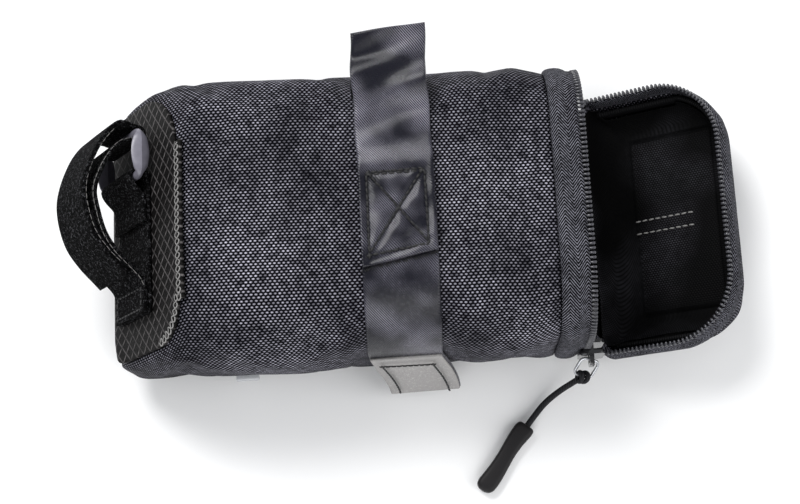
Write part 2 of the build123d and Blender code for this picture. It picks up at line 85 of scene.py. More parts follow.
# The seatpost strap lies in a plane across the sloping front plate
PEEL = JOINTS["post_tail_peel"]
UP_SLOPE = -Vector(PEEL["axis"]).normalized()
OFF_PLATE = UP_SLOPE.cross(Y_AXIS)
PEEL_Y = 34.45 * MM
PEEL_OFF = 10.35 * MM
PLATE_ORIGIN = Vector(PEEL["pos_m"]) - Y_AXIS * PEEL_Y - OFF_PLATE * PEEL_OFF
PLATE_LENGTH = 53.0 * MM


class BagSizes(bpy.types.PropertyGroup):
    """Sizes of the bag's fabric, webbing, zip and stitching."""

    fabric_thickness: FloatProperty(
        name="Fabric Thickness", description="Thickness of the outer fabric", default=1.0 * MM, unit="LENGTH"
    )
    padding: FloatProperty(
        name="Padding", description="Depth from the outer face to the lining", default=3.4 * MM, unit="LENGTH"
    )
    shoulder: FloatProperty(
        name="Shoulder",
        description="How far the body's top edges stand out past its rim",
        default=2.6 * MM,
        unit="LENGTH",
    )
    swell: FloatProperty(
        name="Swell",
        description="Furthest that the padding pushes the fabric out",
        default=1.6 * MM,
        unit="LENGTH",
    )
    crease: FloatProperty(
        name="Crease Depth", description="Depth of the loose creases", default=0.7 * MM, unit="LENGTH"
    )
    webbing_thickness: FloatProperty(
        name="Webbing Thickness", description="Thickness of the rail straps", default=1.3 * MM, unit="LENGTH"
    )
    pile_thickness: FloatProperty(
        name="Pile Thickness", description="Thickness of the seatpost strap", default=1.6 * MM, unit="LENGTH"
    )
    tooth_pitch: FloatProperty(
        name="Tooth Pitch", description="Distance between the zip's teeth", default=1.55 * MM, unit="LENGTH"
    )
    stitch_pitch: FloatProperty(
        name="Stitch Pitch", description="Distance between stitches", default=2.4 * MM, unit="LENGTH"
    )
    seed: IntProperty(name="Seed", description="Seed of the stitches' unevenness", default=7, min=0)


class BagColours(bpy.types.PropertyGroup):
    """Colours of the bag's materials."""

    fabric: FloatVectorProperty(
        name="Fabric", description="Outer fabric's yarn", default=(0.0006, 0.0006, 0.0017), subtype="COLOR"
    )
    # Painted highlight: this pale colour stands for the light caught by the outer fabric's yarn crowns.
    yarn: FloatVectorProperty(
        name="Yarn",
        description="Crowns of the outer fabric's yarns",
        default=(0.5, 0.49, 0.575),
        subtype="COLOR",
    )
    plate: FloatVectorProperty(
        name="Plate", description="Front plate", default=(0.0062, 0.0058, 0.0058), subtype="COLOR"
    )
    webbing: FloatVectorProperty(
        name="Webbing", description="Rail straps", default=(0.0016, 0.0016, 0.0062), subtype="COLOR"
    )
    pile: FloatVectorProperty(
        name="Pile", description="Seatpost strap", default=(0.0014, 0.0014, 0.0015), subtype="COLOR"
    )
    lining: FloatVectorProperty(
        name="Lining", description="Inside of the bag", default=(0.0012, 0.0012, 0.0014), subtype="COLOR"
    )
    tape: FloatVectorProperty(
        name="Zip Tape", description="Zip tape", default=(0.0024, 0.0024, 0.0028), subtype="COLOR"
    )
    teeth: FloatVectorProperty(
        name="Teeth", description="Zip teeth", default=(0.045, 0.045, 0.052), subtype="COLOR"
    )
    thread: FloatVectorProperty(
        name="Thread", description="Sewing thread", default=(0.0015, 0.0015, 0.0022), subtype="COLOR"
    )
    ring: FloatVectorProperty(
        name="Ring", description="Seatpost strap's ring", default=(0.15, 0.145, 0.175), subtype="COLOR"
    )


# Routes and rows of points


def lengths_along(line):
    """Length along a line of points up to each of them."""
    return np.concatenate([[0], np.cumsum(np.linalg.norm(np.diff(line, axis=0), axis=1))])


def resampled(line, step):
    """Evenly spaced points along a line of points."""
    line = np.asarray(line, float)
    along = lengths_along(line)
    count = max(2, int(round(along[-1] / step)) + 1)
    even = np.linspace(0, along[-1], count)
    return np.stack([np.interp(even, along, line[:, k]) for k in range(line.shape[1])], axis=1)


def smooth_route(points, step):
    """Evenly spaced points on a smooth curve through given points."""
    placed = np.asarray(points, float)
    placed = np.vstack([2 * placed[0] - placed[1], placed, 2 * placed[-1] - placed[-2]])
    t = np.linspace(0, 1, 16, endpoint=False)[:, None]
    spans = []
    for a, b, c, d in zip(placed, placed[1:], placed[2:], placed[3:]):
        bend, twist = 2 * a - 5 * b + 4 * c - d, 3 * b - a - 3 * c + d
        spans.append(0.5 * (2 * b + (c - a) * t + bend * t**2 + twist * t**3))
    return resampled(np.vstack([*spans, placed[-2]]), step)


def unit(vectors):
    """Vectors of length one."""
    vectors = np.asarray(vectors, float)
    return vectors / np.maximum(np.linalg.norm(vectors, axis=-1, keepdims=True), 1e-12)


# Meshes

SAME_PLACE = 1e-7


def finish_mesh(name, work, material, recalculate=True):
    """Smooth object made from a bmesh, with its faces outwards and one material."""
    if recalculate:
        bmesh.ops.recalc_face_normals(work, faces=work.faces)
    mesh = bpy.data.meshes.new(name)
    work.to_mesh(mesh)
    work.free()
    mesh.materials.append(material)
    mesh.polygons.foreach_set("use_smooth", [True] * len(mesh.polygons))
    piece = bpy.data.objects.new(name, mesh)
    bpy.context.scene.collection.objects.link(piece)
    return piece


def grid(rows, uv_rows, closed=False, caps=False):
    """Faces between rows of points, each with its place on the cloth in metres.

    Returns the bmesh and its rows of vertices.
    """
    work = bmesh.new()
    layer = work.loops.layers.uv.new("weave")
    verts = [[work.verts.new(point) for point in row] for row in rows]
    width = len(rows[0])
    last = width if closed else width - 1
    for i in range(len(rows) - 1):
        for j in range(last):
            k = (j + 1) % width
            face = work.faces.new((verts[i][j], verts[i][k], verts[i + 1][k], verts[i + 1][j]))
            spots = (uv_rows[i][j], uv_rows[i][j + 1], uv_rows[i + 1][j + 1], uv_rows[i + 1][j])
            for loop, spot in zip(face.loops, spots):
                loop[layer].uv = spot
    if caps:
        for row, uvs in ((verts[0], uv_rows[0]), (verts[-1], uv_rows[-1])):
            face = work.faces.new(row)
            for loop, spot in zip(face.loops, uvs):
                loop[layer].uv = spot
    return work, verts


def sweep(name, path, across, profile, material, shape=None, closed=False):
    """Strip with a closed cross-section of (across, up) points swept along a path.

    Shape may change a section by its place along.
    """
    path = np.asarray(path, float)
    ahead = np.roll(path, -1, axis=0) - np.roll(path, 1, axis=0) if closed else np.gradient(path, axis=0)
    ahead = unit(ahead)
    across = np.broadcast_to(np.asarray(across, float), path.shape)
    across = unit(across - ahead * np.sum(across * ahead, axis=1, keepdims=True))
    up = np.cross(across, ahead)
    along = lengths_along(path)
    profile = np.asarray(profile, float)
    edge = lengths_along(np.vstack([profile, profile[:1]]))
    rows, uv_rows = [], []
    for i, point in enumerate(path):
        section = profile if shape is None else shape(along[i], along[-1], profile.copy())
        rows.append([point + across[i] * a + up[i] * b for a, b in section])
        uv_rows.append([(e, along[i]) for e in edge])
    if closed:
        rows.append(rows[0])
        step = np.linalg.norm(path[0] - path[-1])
        uv_rows.append([(e, along[-1] + step) for e in edge])
    work, _ = grid(rows, uv_rows, closed=True, caps=not closed)
    if closed:
        bmesh.ops.remove_doubles(work, verts=work.verts, dist=SAME_PLACE)
    return finish_mesh(name, work, material)


def webbing_profile(width, thickness, cells=12):
    """Cross-section of a flat strap with rounded edges, starting with its upper side."""
    half, h = width / 2, thickness / 2
    flat = half - h
    top = [(x, h) for x in np.linspace(-flat, flat, cells + 1)]
    right = [(flat + h * math.cos(a), h * math.sin(a)) for a in np.radians([45, 0, -45])]
    bottom = [(x, -h) for x in np.linspace(flat, -flat, cells + 1)]
    left = [(-flat - h * math.cos(a), h * math.sin(a)) for a in np.radians([-45, 0, 45])]
    return top + right + bottom + left


def round_profile(radius, sides=10, flatten=1.0):
    """Circular or oval cross-section."""
    angles = np.linspace(0, 2 * math.pi, sides, endpoint=False)
    return [(radius * math.cos(a), radius * flatten * math.sin(a)) for a in angles]


def rock(*place, scale=1.0, seed=0.0):
    """Smooth unevenness from -1 to 1 at a place."""
    return noise.noise(Vector(place) * scale + Vector((seed, seed * 1.7, seed * 0.3)))


# The bag's outer form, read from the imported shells


def closed_tree(nodes, swing_back):
    """Search tree of CAD nodes, with the flap's swung back to the closed bag."""
    verts, faces = [], []
    for name in nodes:
        mesh = frame["nodes"][name].data
        turn = FLAP_SWING.inverted() if swing_back else Matrix.Identity(4)
        first = len(verts)
        verts += [turn @ v.co for v in mesh.vertices]
        faces += [[first + i for i in polygon.vertices] for polygon in mesh.polygons]
    return BVHTree.FromPolygons(verts, faces)


BODY_TREE = closed_tree(("body_shell", "base_panel", "body_zip_tape"), False)
FLAP_TREE = closed_tree(("flap_cap", "flap_zip_tape"), True)
RAY_REACH = 0.3
RAYS = 360


def outer_ring(tree, x, count):
    """Points round the bag's outer face at one place along it, from the bottom up the near side and over."""
    top = tree.ray_cast(Vector((x, 0, RAY_REACH)), Vector((0, 0, -1)))[0]
    bottom = tree.ray_cast(Vector((x, 0, -RAY_REACH)), Vector((0, 0, 1)))[0]
    centre = (top + bottom) / 2
    points = []
    for angle in np.linspace(0, 2 * math.pi, RAYS, endpoint=False):
        way = Vector((0, -math.sin(angle), -math.cos(angle)))
        hit = tree.ray_cast(centre + way * RAY_REACH, -way)[0]
        if hit is not None:
            points.append(hit)
    loop = np.array([*points, points[0]])
    length = np.sum(np.linalg.norm(np.diff(loop, axis=0), axis=1))
    return resampled(loop, length / count)[:count]


# Materials


class Finish:
    """A procedural material, built from short calls that add and link its nodes."""

    def __init__(self, name, settings):
        self.material = bpy.data.materials.new(name)
        self.material.use_nodes = True
        self.nodes = self.material.node_tree.nodes
        self.links = self.material.node_tree.links
        self.shader = self.nodes["Principled BSDF"]
        for socket, value in settings.items():
            self.shader.inputs[socket].default_value = value

    def feed(self, socket, value):
        if isinstance(value, bpy.types.NodeSocket):
            self.links.new(value, socket)
        else:
            socket.default_value = value

    def math(self, operation, *values):
        node = self.nodes.new("ShaderNodeMath")
        node.operation = operation
        for socket, value in zip(node.inputs, values):
            self.feed(socket, value)
        return node.outputs[0]

    def clipped(self, value):
        """A value kept between 0 and 1."""
        return self.math("MINIMUM", self.math("MAXIMUM", value, 0.0), 1.0)

    def varied(self, value, unevenness, gain, base):
        """A value made stronger and weaker by an unevenness."""
        return self.math("MULTIPLY", value, self.math("MULTIPLY_ADD", unevenness, gain, base))

    def cloth_place(self):
        """Place on the cloth in metres, across and along."""
        uv = self.nodes.new("ShaderNodeUVMap")
        uv.uv_map = "weave"
        split = self.nodes.new("ShaderNodeSeparateXYZ")
        self.links.new(uv.outputs[0], split.inputs[0])
        return split.outputs[0], split.outputs[1]

    def object_place(self):
        return self.nodes.new("ShaderNodeTexCoord").outputs["Object"]

    def grain(self, scale, detail=2.0, roughness=0.5):
        """Unevenness from 0 to 1, with a scale in cells per metre."""
        node = self.nodes.new("ShaderNodeTexNoise")
        node.inputs["Scale"].default_value = scale
        node.inputs["Detail"].default_value = detail
        node.inputs["Roughness"].default_value = roughness
        self.links.new(self.object_place(), node.inputs["Vector"])
        return node.outputs["Fac"]

    def cell(self, value, pitch, shift=0.0):
        """Place within a repeat, from -0.5 to 0.5."""
        share = self.math("ADD", self.math("DIVIDE", value, pitch), shift)
        return self.math("SUBTRACT", self.math("FRACT", share), 0.5)

    def crowns(self, across, along, pitch_across, pitch_along, width=0.46, length=0.46):
        """Rounded yarn crowns, each row shifted by half a repeat: 1 at a crown's top and 0 between."""
        row = self.math("FLOOR", self.math("DIVIDE", across, pitch_across))
        shift = self.math("MULTIPLY", self.math("MODULO", row, 2.0), 0.5)
        a = self.math("DIVIDE", self.cell(across, pitch_across), width)
        b = self.math("DIVIDE", self.cell(along, pitch_along, shift), length)
        far = self.math("ADD", self.math("MULTIPLY", a, a), self.math("MULTIPLY", b, b))
        return self.math("MAXIMUM", self.math("SUBTRACT", 1.0, far), 0.0)

    def lines(self, value, pitch, share):
        """Bands that cover a share of each repeat: 1 in the middle of a band and 0 outside."""
        off = self.math("ABSOLUTE", self.cell(value, pitch))
        height = self.math("SUBTRACT", 1.0, self.math("DIVIDE", off, share / 2))
        return self.math("MAXIMUM", height, 0.0)

    def blend(self, factor, low, high):
        node = self.nodes.new("ShaderNodeMix")
        node.data_type = "RGBA"
        self.feed(node.inputs[0], factor)
        for socket, value in ((node.inputs[6], low), (node.inputs[7], high)):
            self.feed(socket, value if isinstance(value, bpy.types.NodeSocket) else (*value, 1.0))
        return node.outputs[2]

    def colour(self, value):
        self.feed(self.shader.inputs["Base Color"], value)

    def roughness(self, low, high, factor):
        self.feed(self.shader.inputs["Roughness"], self.math("MULTIPLY_ADD", factor, high - low, low))

    def relief(self, height, depth):
        """Bump from a height of 0 to 1, with its depth in metres."""
        node = self.nodes.new("ShaderNodeBump")
        node.inputs["Strength"].default_value = 1.0
        node.inputs["Distance"].default_value = depth
        self.feed(node.inputs["Height"], height)
        self.links.new(node.outputs[0], self.shader.inputs["Normal"])


def brighter(colour, factor):
    return tuple(min(1.0, c * factor) for c in colour)


def basket_weave(colours):
    """Heavy basket weave with a light coating: near-black navy, with painted highlights on its yarn crowns.
    """
    f = Finish("basket_weave", {"Specular IOR Level": 0.02})
    across, along = f.cloth_place()
    drift = f.math("MULTIPLY_ADD", f.grain(26.0, 1.0), 3.4 * MM, along)
    width, length = 0.97 * MM, 1.56 * MM
    crown = f.crowns(across, drift, width, length, 0.42, 0.42)
    cross = f.crowns(f.math("ADD", across, width / 2), f.math("ADD", drift, 0.4 * MM), width, length)
    uneven = f.grain(420.0, 2.0)
    patch = f.grain(38.0, 2.0)
    # Painted highlight: the crowns are blended towards the yarn colour, made patchy by the uneven and patch
    # noise.
    lit = f.varied(f.math("POWER", crown, 1.7), uneven, 1.9, -0.3)
    lit = f.clipped(f.varied(lit, patch, 2.0, -0.2))
    f.colour(f.blend(lit, tuple(colours.fabric), tuple(colours.yarn)))
    f.roughness(0.6, 0.4, crown)
    f.relief(f.math("MAXIMUM", crown, f.math("MULTIPLY", cross, 0.7)), 0.26 * MM)
    return f.material


DIAGONAL = 0.7071


def grid_laminate(colours):
    """Laminate with a fine diagonal grid of lighter threads over a close plain weave."""
    f = Finish("grid_laminate", {"Specular IOR Level": 0.06})
    across, along = f.cloth_place()
    pitch = 3.85 * MM
    falling = f.math("MULTIPLY", f.math("ADD", across, along), DIAGONAL)
    rising = f.math("MULTIPLY", f.math("SUBTRACT", across, along), DIAGONAL)
    one = f.lines(falling, pitch, 0.2)
    two = f.varied(f.lines(rising, pitch, 0.2), f.lines(falling, pitch, 1.6), -0.8, 1.0)
    shade = f.lines(f.math("ADD", rising, 0.45 * MM), pitch, 0.3)
    thread = f.math("MAXIMUM", f.math("MULTIPLY", one, 0.4), two)
    fine = f.crowns(across, along, 0.5 * MM, 0.62 * MM)
    uneven = f.grain(500.0, 3.0)
    broad_patches = f.grain(60.0, 2.0)
    lit = f.varied(f.varied(thread, uneven, 1.7, -0.15), broad_patches, 1.5, 0.25)
    plate = colours.plate
    base = f.blend(f.math("MULTIPLY", fine, uneven), brighter(plate, 0.5), brighter(plate, 2.4))
    base = f.blend(shade, base, brighter(plate, 0.15))
    f.colour(f.blend(f.clipped(lit), base, brighter(plate, 38.0)))
    f.roughness(0.6, 0.42, thread)
    f.relief(f.math("MAXIMUM", thread, f.math("MULTIPLY", fine, 0.35)), 0.2 * MM)
    return f.material


def herringbone(colours):
    """Zip tape woven in fine chevrons."""
    f = Finish("herringbone_tape", {"Specular IOR Level": 0.04})
    across, along = f.cloth_place()
    chevron = 6.4 * MM
    fold = f.math("ABSOLUTE", f.cell(across, chevron))
    slant = f.math("MULTIPLY_ADD", fold, chevron * 1.25, along)
    rib = f.lines(slant, 1.15 * MM, 0.5)
    uneven = f.grain(900.0, 2.0)
    broad_patches = f.grain(90.0, 2.0)
    lit = f.clipped(f.varied(f.varied(rib, uneven, 2.6, -0.4), broad_patches, 1.8, 0.1))
    f.colour(f.blend(lit, brighter(colours.tape, 0.4), brighter(colours.tape, 125.0)))
    f.roughness(0.75, 0.55, rib)
    f.relief(rib, 0.2 * MM)
    return f.material


def satin_twill(colours):
    """Smooth webbing in a fine twill that shines along its folds, with painted highlights on its twill lines
    in broad patches.
    """
    f = Finish("satin_twill", {"Specular IOR Level": 0.36})
    across, along = f.cloth_place()
    slant = f.math("MULTIPLY_ADD", along, 0.8, across)
    twill = f.math("POWER", f.lines(slant, 0.8 * MM, 0.8), 2.0)
    uneven = f.grain(900.0, 2.0)
    broad_patches = f.grain(58.0, 2.0)
    # Painted highlight: the twill lines are blended to a pale grey-lilac, stronger and weaker in broad
    # patches of painted sheen.
    lit = f.clipped(f.varied(f.varied(twill, uneven, 0.8, 0.4), broad_patches, 4.6, -1.85))
    f.colour(f.blend(lit, tuple(colours.webbing), (0.34, 0.33, 0.4)))
    f.roughness(0.33, 0.23, uneven)
    f.relief(twill, 0.06 * MM)
    return f.material


def brushed_pile(name, colour, lift=7.0, depth=0.35 * MM):
    """Brushed loops: a fuzzy, uneven surface of short fibres."""
    f = Finish(name, {"Specular IOR Level": 0.03, "Roughness": 0.9})
    fluff = f.grain(2800.0, 3.0, 0.7)
    tuft = f.grain(1000.0, 3.0, 0.65)
    fleck = f.math("MULTIPLY", f.math("SUBTRACT", f.math("MULTIPLY", fluff, tuft), 0.28), 6.5)
    f.colour(f.blend(f.clipped(fleck), colour, brighter(colour, lift)))
    f.relief(f.math("ADD", fluff, tuft), depth)
    return f.material


def plain_weave(name, colour, pitch=0.5 * MM, lift=2.5, painted_light_patches=0.0):
    """Close plain weave, whose light threads can be made to show only in patches of painted light."""
    f = Finish(name, {"Specular IOR Level": 0.06})
    across, along = f.cloth_place()
    crown = f.crowns(across, along, pitch, pitch * 1.3)
    uneven = f.grain(300.0, 3.0)
    # Painted light: large noise patches where the weave's light threads show, as if lit.
    patch = f.math("MULTIPLY_ADD", f.grain(34.0, 1.0), 6.0 * painted_light_patches, 1 - 3.9 * painted_light_patches)
    lit = f.math("MULTIPLY", crown, f.math("MULTIPLY", uneven, f.math("MAXIMUM", patch, 0.0)))
    f.colour(f.blend(lit, colour, brighter(colour, lift)))
    f.roughness(0.7, 0.5, crown)
    f.relief(crown, 0.12 * MM)
    return f.material


def ribbed(name, colour, pitch=0.9 * MM, lift=3.0):
    """Ribs across a binding or a plain webbing."""
    f = Finish(name, {"Specular IOR Level": 0.15})
    _, along = f.cloth_place()
    rib = f.lines(along, pitch, 0.95)
    uneven = f.grain(500.0, 3.0)
    f.colour(f.blend(f.math("MULTIPLY", rib, uneven), colour, brighter(colour, lift)))
    f.roughness(0.75, 0.55, rib)
    f.relief(rib, 0.2 * MM)
    return f.material


def moulded(name, colour, rough=0.4, grain_scale=900.0, depth=0.02 * MM, settings=None):
    """Plain finish with slight unevenness, as of plastic, rubber, enamel or fine thread."""
    f = Finish(name, settings or {"Specular IOR Level": 0.5})
    uneven = f.grain(grain_scale, 3.0)
    f.colour(f.blend(uneven, brighter(colour, 0.8), brighter(colour, 1.25)))
    f.roughness(rough - 0.05, rough + 0.08, uneven)
    f.relief(uneven, depth)
    return f.material


def braid(name, colour):
    """Round braid: uneven bands of paler strands across a dark cord."""
    f = Finish(name, {"Specular IOR Level": 0.2})
    place = f.object_place()
    uneven = f.grain(2600.0, 2.0)
    wave = f.nodes.new("ShaderNodeTexWave")
    wave.inputs["Scale"].default_value = 420.0
    wave.inputs["Distortion"].default_value = 3.0
    f.links.new(place, wave.inputs["Vector"])
    strand = f.math("MULTIPLY", wave.outputs["Fac"], uneven)
    f.colour(f.blend(strand, colour, brighter(colour, 5.0)))
    f.roughness(0.75, 0.55, strand)
    f.relief(strand, 0.15 * MM)
    return f.material


def foam_finish(colour):
    """Fine closed-cell foam, on the hidden padding."""
    f = Finish("cell_foam", {"Roughness": 0.9})
    cells = f.nodes.new("ShaderNodeTexVoronoi")
    cells.inputs["Scale"].default_value = 1400.0
    f.links.new(f.object_place(), cells.inputs["Vector"])
    f.colour(f.blend(cells.outputs["Distance"], colour, brighter(colour, 2.0)))
    f.relief(cells.outputs["Distance"], 0.15 * MM)
    return f.material


FINISHES = {}


def make_finishes(colours):
    """Every material of the bag, by name."""
    near_black = (0.006, 0.006, 0.007)
    fine_thread = (0.55, 4000.0, 0.05 * MM)
    gloss = {"Coat Weight": 0.6, "Coat Roughness": 0.08}
    FINISHES.update(
        weave=basket_weave(colours),
        laminate=grid_laminate(colours),
        tape=herringbone(colours),
        webbing=satin_twill(colours),
        pile=brushed_pile("brushed_pile", tuple(colours.pile), 75.0),
        # The loop pile's pale grey is partly its own tone and partly a painted sheen where the near strap's
        # end faces the light.
        loop=brushed_pile("loop_pile", (0.34, 0.33, 0.325), 1.6),
        hook=plain_weave("hook_base", (0.0025, 0.0025, 0.003)),
        # The lining's pale threads show only in patches of painted light.
        lining=plain_weave("lining_weave", tuple(colours.lining), 0.8 * MM, 34.0, 1.0),
        binding=ribbed("binding_ribs", (0.002, 0.002, 0.0025)),
        plain=ribbed("plain_webbing", (0.003, 0.003, 0.0035), 1.1 * MM),
        thread=moulded("sewing_thread", tuple(colours.thread), *fine_thread),
        pale_thread=moulded("pale_thread", (0.2, 0.195, 0.19), *fine_thread),
        teeth=moulded("nylon_teeth", tuple(colours.teeth), 0.22, 1500.0, 0.01 * MM),
        enamel=moulded("black_enamel", near_black, 0.16, 600.0, 0.004 * MM, gloss),
        steel=moulded("bright_link", (0.45, 0.46, 0.48), 0.22, 900.0, 0.006 * MM, {"Metallic": 0.9}),
        ring=moulded("ring_plastic", tuple(colours.ring), 0.34, 500.0, 0.02 * MM),
        rubber=moulded(
            "grip_rubber", (0.007, 0.0062, 0.007), 0.5, 1800.0, 0.04 * MM, {"Specular IOR Level": 0.25}
        ),
        cord=braid("cord_braid", near_black),
        reflective=moulded("reflective_tape", (0.42, 0.43, 0.45), 0.3, 3000.0, 0.05 * MM),
        foam=foam_finish((0.02, 0.02, 0.02)),
    )


# Rows of stitches and teeth, placed along paths by Geometry Nodes


def row_tree():
    """Node tree that repeats a unit along a path, standing on the path's stored up direction."""
    tree = bpy.data.node_groups.new("Row along a path", "GeometryNodeTree")
    face = tree.interface
    face.new_socket("Path", in_out="INPUT", socket_type="NodeSocketGeometry")
    inputs = {"Unit": "Object", "Pitch": "Float", "Tilt": "Float", "Seed": "Int", "Finish": "Material"}
    for name, kind in inputs.items():
        face.new_socket(name, in_out="INPUT", socket_type=f"NodeSocket{kind}")
    face.new_socket("Row", in_out="OUTPUT", socket_type="NodeSocketGeometry")
    make, link = tree.nodes.new, tree.links.new
    start, end = make("NodeGroupInput"), make("NodeGroupOutput")
    curve, spread = make("GeometryNodeMeshToCurve"), make("GeometryNodeResampleCurve")
    spread.mode = "LENGTH"
    link(start.outputs["Path"], curve.inputs[0])
    link(curve.outputs[0], spread.inputs["Curve"])
    link(start.outputs["Pitch"], spread.inputs["Length"])
    tangent, up = make("GeometryNodeInputTangent"), make("GeometryNodeInputNamedAttribute")
    up.data_type = "FLOAT_VECTOR"
    up.inputs["Name"].default_value = "up"
    turn = make("FunctionNodeAxesToRotation")
    turn.primary_axis, turn.secondary_axis = "X", "Z"
    link(tangent.outputs[0], turn.inputs[0])
    link(up.outputs[0], turn.inputs[1])
    chance = make("FunctionNodeRandomValue")
    chance.data_type = "FLOAT"
    chance.inputs[2].default_value = -1.0
    link(start.outputs["Seed"], chance.inputs["Seed"])
    tilt = make("ShaderNodeMath")
    tilt.operation = "MULTIPLY"
    link(chance.outputs[1], tilt.inputs[0])
    link(start.outputs["Tilt"], tilt.inputs[1])
    spin, turned = make("FunctionNodeAxisAngleToRotation"), make("FunctionNodeRotateRotation")
    turned.rotation_space = "LOCAL"
    spin.inputs[0].default_value = (0, 0, 1)
    link(tilt.outputs[0], spin.inputs[1])
    link(turn.outputs[0], turned.inputs[0])
    link(spin.outputs[0], turned.inputs[1])
    unit_info, place = make("GeometryNodeObjectInfo"), make("GeometryNodeInstanceOnPoints")
    link(start.outputs["Unit"], unit_info.inputs[0])
    link(spread.outputs[0], place.inputs["Points"])
    link(unit_info.outputs["Geometry"], place.inputs["Instance"])
    link(turned.outputs[0], place.inputs["Rotation"])
    real, paint = make("GeometryNodeRealizeInstances"), make("GeometryNodeSetMaterial")
    link(place.outputs[0], real.inputs[0])
    link(real.outputs[0], paint.inputs["Geometry"])
    link(start.outputs["Finish"], paint.inputs["Material"])
    link(paint.outputs[0], end.inputs[0])
    return tree


def row(name, paths, ups, unit_piece, pitch, finish, tilt=0.0, seed=0):
    """One mesh of units repeated along several paths."""
    mesh = bpy.data.meshes.new(name + "_path")
    verts, edges, normals = [], [], []
    for path, up in zip(paths, ups):
        first = len(verts)
        verts += [tuple(p) for p in path]
        normals += [tuple(n) for n in np.broadcast_to(np.asarray(up, float), (len(path), 3))]
        edges += [(first + i, first + i + 1) for i in range(len(path) - 1)]
    mesh.from_pydata(verts, edges, [])
    stored = mesh.attributes.new("up", "FLOAT_VECTOR", "POINT")
    stored.data.foreach_set("vector", np.array(normals, np.float32).ravel())
    guide = bpy.data.objects.new(name + "_path", mesh)
    bpy.context.scene.collection.objects.link(guide)
    tree = bpy.data.node_groups.get("Row along a path") or row_tree()
    nodes = guide.modifiers.new("Row", "NODES")
    nodes.node_group = tree
    keys = {item.name: item.identifier for item in tree.interface.items_tree if item.in_out == "INPUT"}
    values = {"Unit": unit_piece, "Pitch": pitch, "Tilt": tilt, "Seed": seed, "Finish": finish}
    for key, value in values.items():
        nodes[keys[key]] = value
    depsgraph = bpy.context.evaluated_depsgraph_get()
    made = bpy.data.meshes.new_from_object(guide.evaluated_get(depsgraph))
    bpy.data.objects.remove(guide)
    bpy.data.objects.remove(unit_piece)
    if not made.polygons:
        raise RuntimeError(f"{name}: no units were placed")
    made.name = name
    made.polygons.foreach_set("use_smooth", [True] * len(made.polygons))
    piece = bpy.data.objects.new(name, made)
    bpy.context.scene.collection.objects.link(piece)
    return piece


STITCH_SIDES = 6
# Share of the length, size of the thread and its rise, at five places along a stitch
STITCH_SHAPE = (
    (-0.5, 0.35, -0.5), (-0.32, 0.95, 0.1), (0.0, 1.0, 0.35), (0.32, 0.95, 0.1), (0.5, 0.35, -0.5),
)


def stitch_unit(length, width):
    """One stitch: a short plump thread that dips at both ends, along X."""
    height = width * 0.8
    work = bmesh.new()
    rings = []
    for share, size, rise in STITCH_SHAPE:
        ring_points = []
        for a in np.linspace(0, 2 * math.pi, STITCH_SIDES, endpoint=False):
            y = width / 2 * size * math.cos(a)
            z = height * rise * 0.5 + height / 2 * size * math.sin(a)
            ring_points.append(work.verts.new((share * length, y, z)))
        rings.append(ring_points)
    for one, two in zip(rings, rings[1:]):
        for i in range(STITCH_SIDES):
            k = (i + 1) % STITCH_SIDES
            work.faces.new((one[i], one[k], two[k], two[i]))
    work.faces.new(rings[0])
    work.faces.new(rings[-1])
    return finish_mesh("unit_stitch", work, FINISHES["thread"])


def block_unit(size, bevel, taper=1.0):
    """Small rounded block, its Y side tapered, standing on its middle."""
    work = bmesh.new()
    bmesh.ops.create_cube(work, size=1.0)
    for v in work.verts:
        narrow = taper if v.co.y > 0 else 1.0
        v.co = Vector((v.co.x * size[0] * narrow, v.co.y * size[1], v.co.z * size[2] * narrow))
    bmesh.ops.bevel(work, geom=list(work.edges), offset=bevel, segments=1, affect="EDGES")
    return finish_mesh("unit_block", work, FINISHES["teeth"])


def done(piece, body, slot, *replaced):
    """Hands a finished piece to its CAD body and hides the nodes that it stands for; its material slot is not
    used.
    """
    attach(piece, body)
    if replaced:
        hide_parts(*replaced)
    return piece


def swung(piece):
    """A flap piece drawn closed, swung down to the open flap."""
    piece.data.transform(FLAP_SWING)
    return piece


# The padded fabric of the body and flap

RING_POINTS = 112
SEAM_RISE = 4.2 * MM
REAR_SLOPE_X = 21.0 * MM
REAR_SLOPE = math.tan(math.radians(15.0))
MOUTH_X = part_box("body_shell")[1].x
NOSE_TIP_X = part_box("base_panel")[0].x
PIN_GROUP = "pinned"
CLOTH_FRAMES = 20
LINING_THICKNESS = 0.35 * MM


def ring_rows(tree, stations):
    """Rings of the outer form and their places on the cloth, measured from the middle of the top."""
    rows, uvs = [], []
    for x in stations:
        ring_points = outer_ring(tree, x, RING_POINTS)
        around = lengths_along(np.vstack([ring_points, ring_points[:1]]))
        along = along + np.linalg.norm(ring_points - rows[-1], axis=1).mean() if rows else x
        rows.append(ring_points)
        uvs.append([(a - around[-1] / 2, along) for a in around])
    return rows, uvs


def end_rows(last_ring, end_x, shares):
    """Rows that close the flap's flat end towards its middle, and their places on the cloth."""
    centre = np.array([end_x, 0, last_ring[:, 2].mean()])
    rows, uvs = [], []
    for share in shares:
        ring_points = centre + (last_ring - centre) * share
        ring_points[:, 0] = end_x
        rows.append(ring_points)
        closed = np.vstack([ring_points, ring_points[:1]])
        uvs.append([(p[1], p[2]) for p in closed])
    return rows, uvs


def keep_faces(piece, test):
    """Deletes the faces whose middle fails a test."""
    work = bmesh.new()
    work.from_mesh(piece.data)
    lost = [face for face in work.faces if not test(face.calc_center_median())]
    bmesh.ops.delete(work, geom=lost, context="FACES")
    work.to_mesh(piece.data)
    work.free()


def twin(piece, name):
    """Copy of a piece with a mesh of its own."""
    copy = piece.copy()
    copy.data = piece.data.copy()
    copy.name = copy.data.name = name
    bpy.context.scene.collection.objects.link(copy)
    return copy


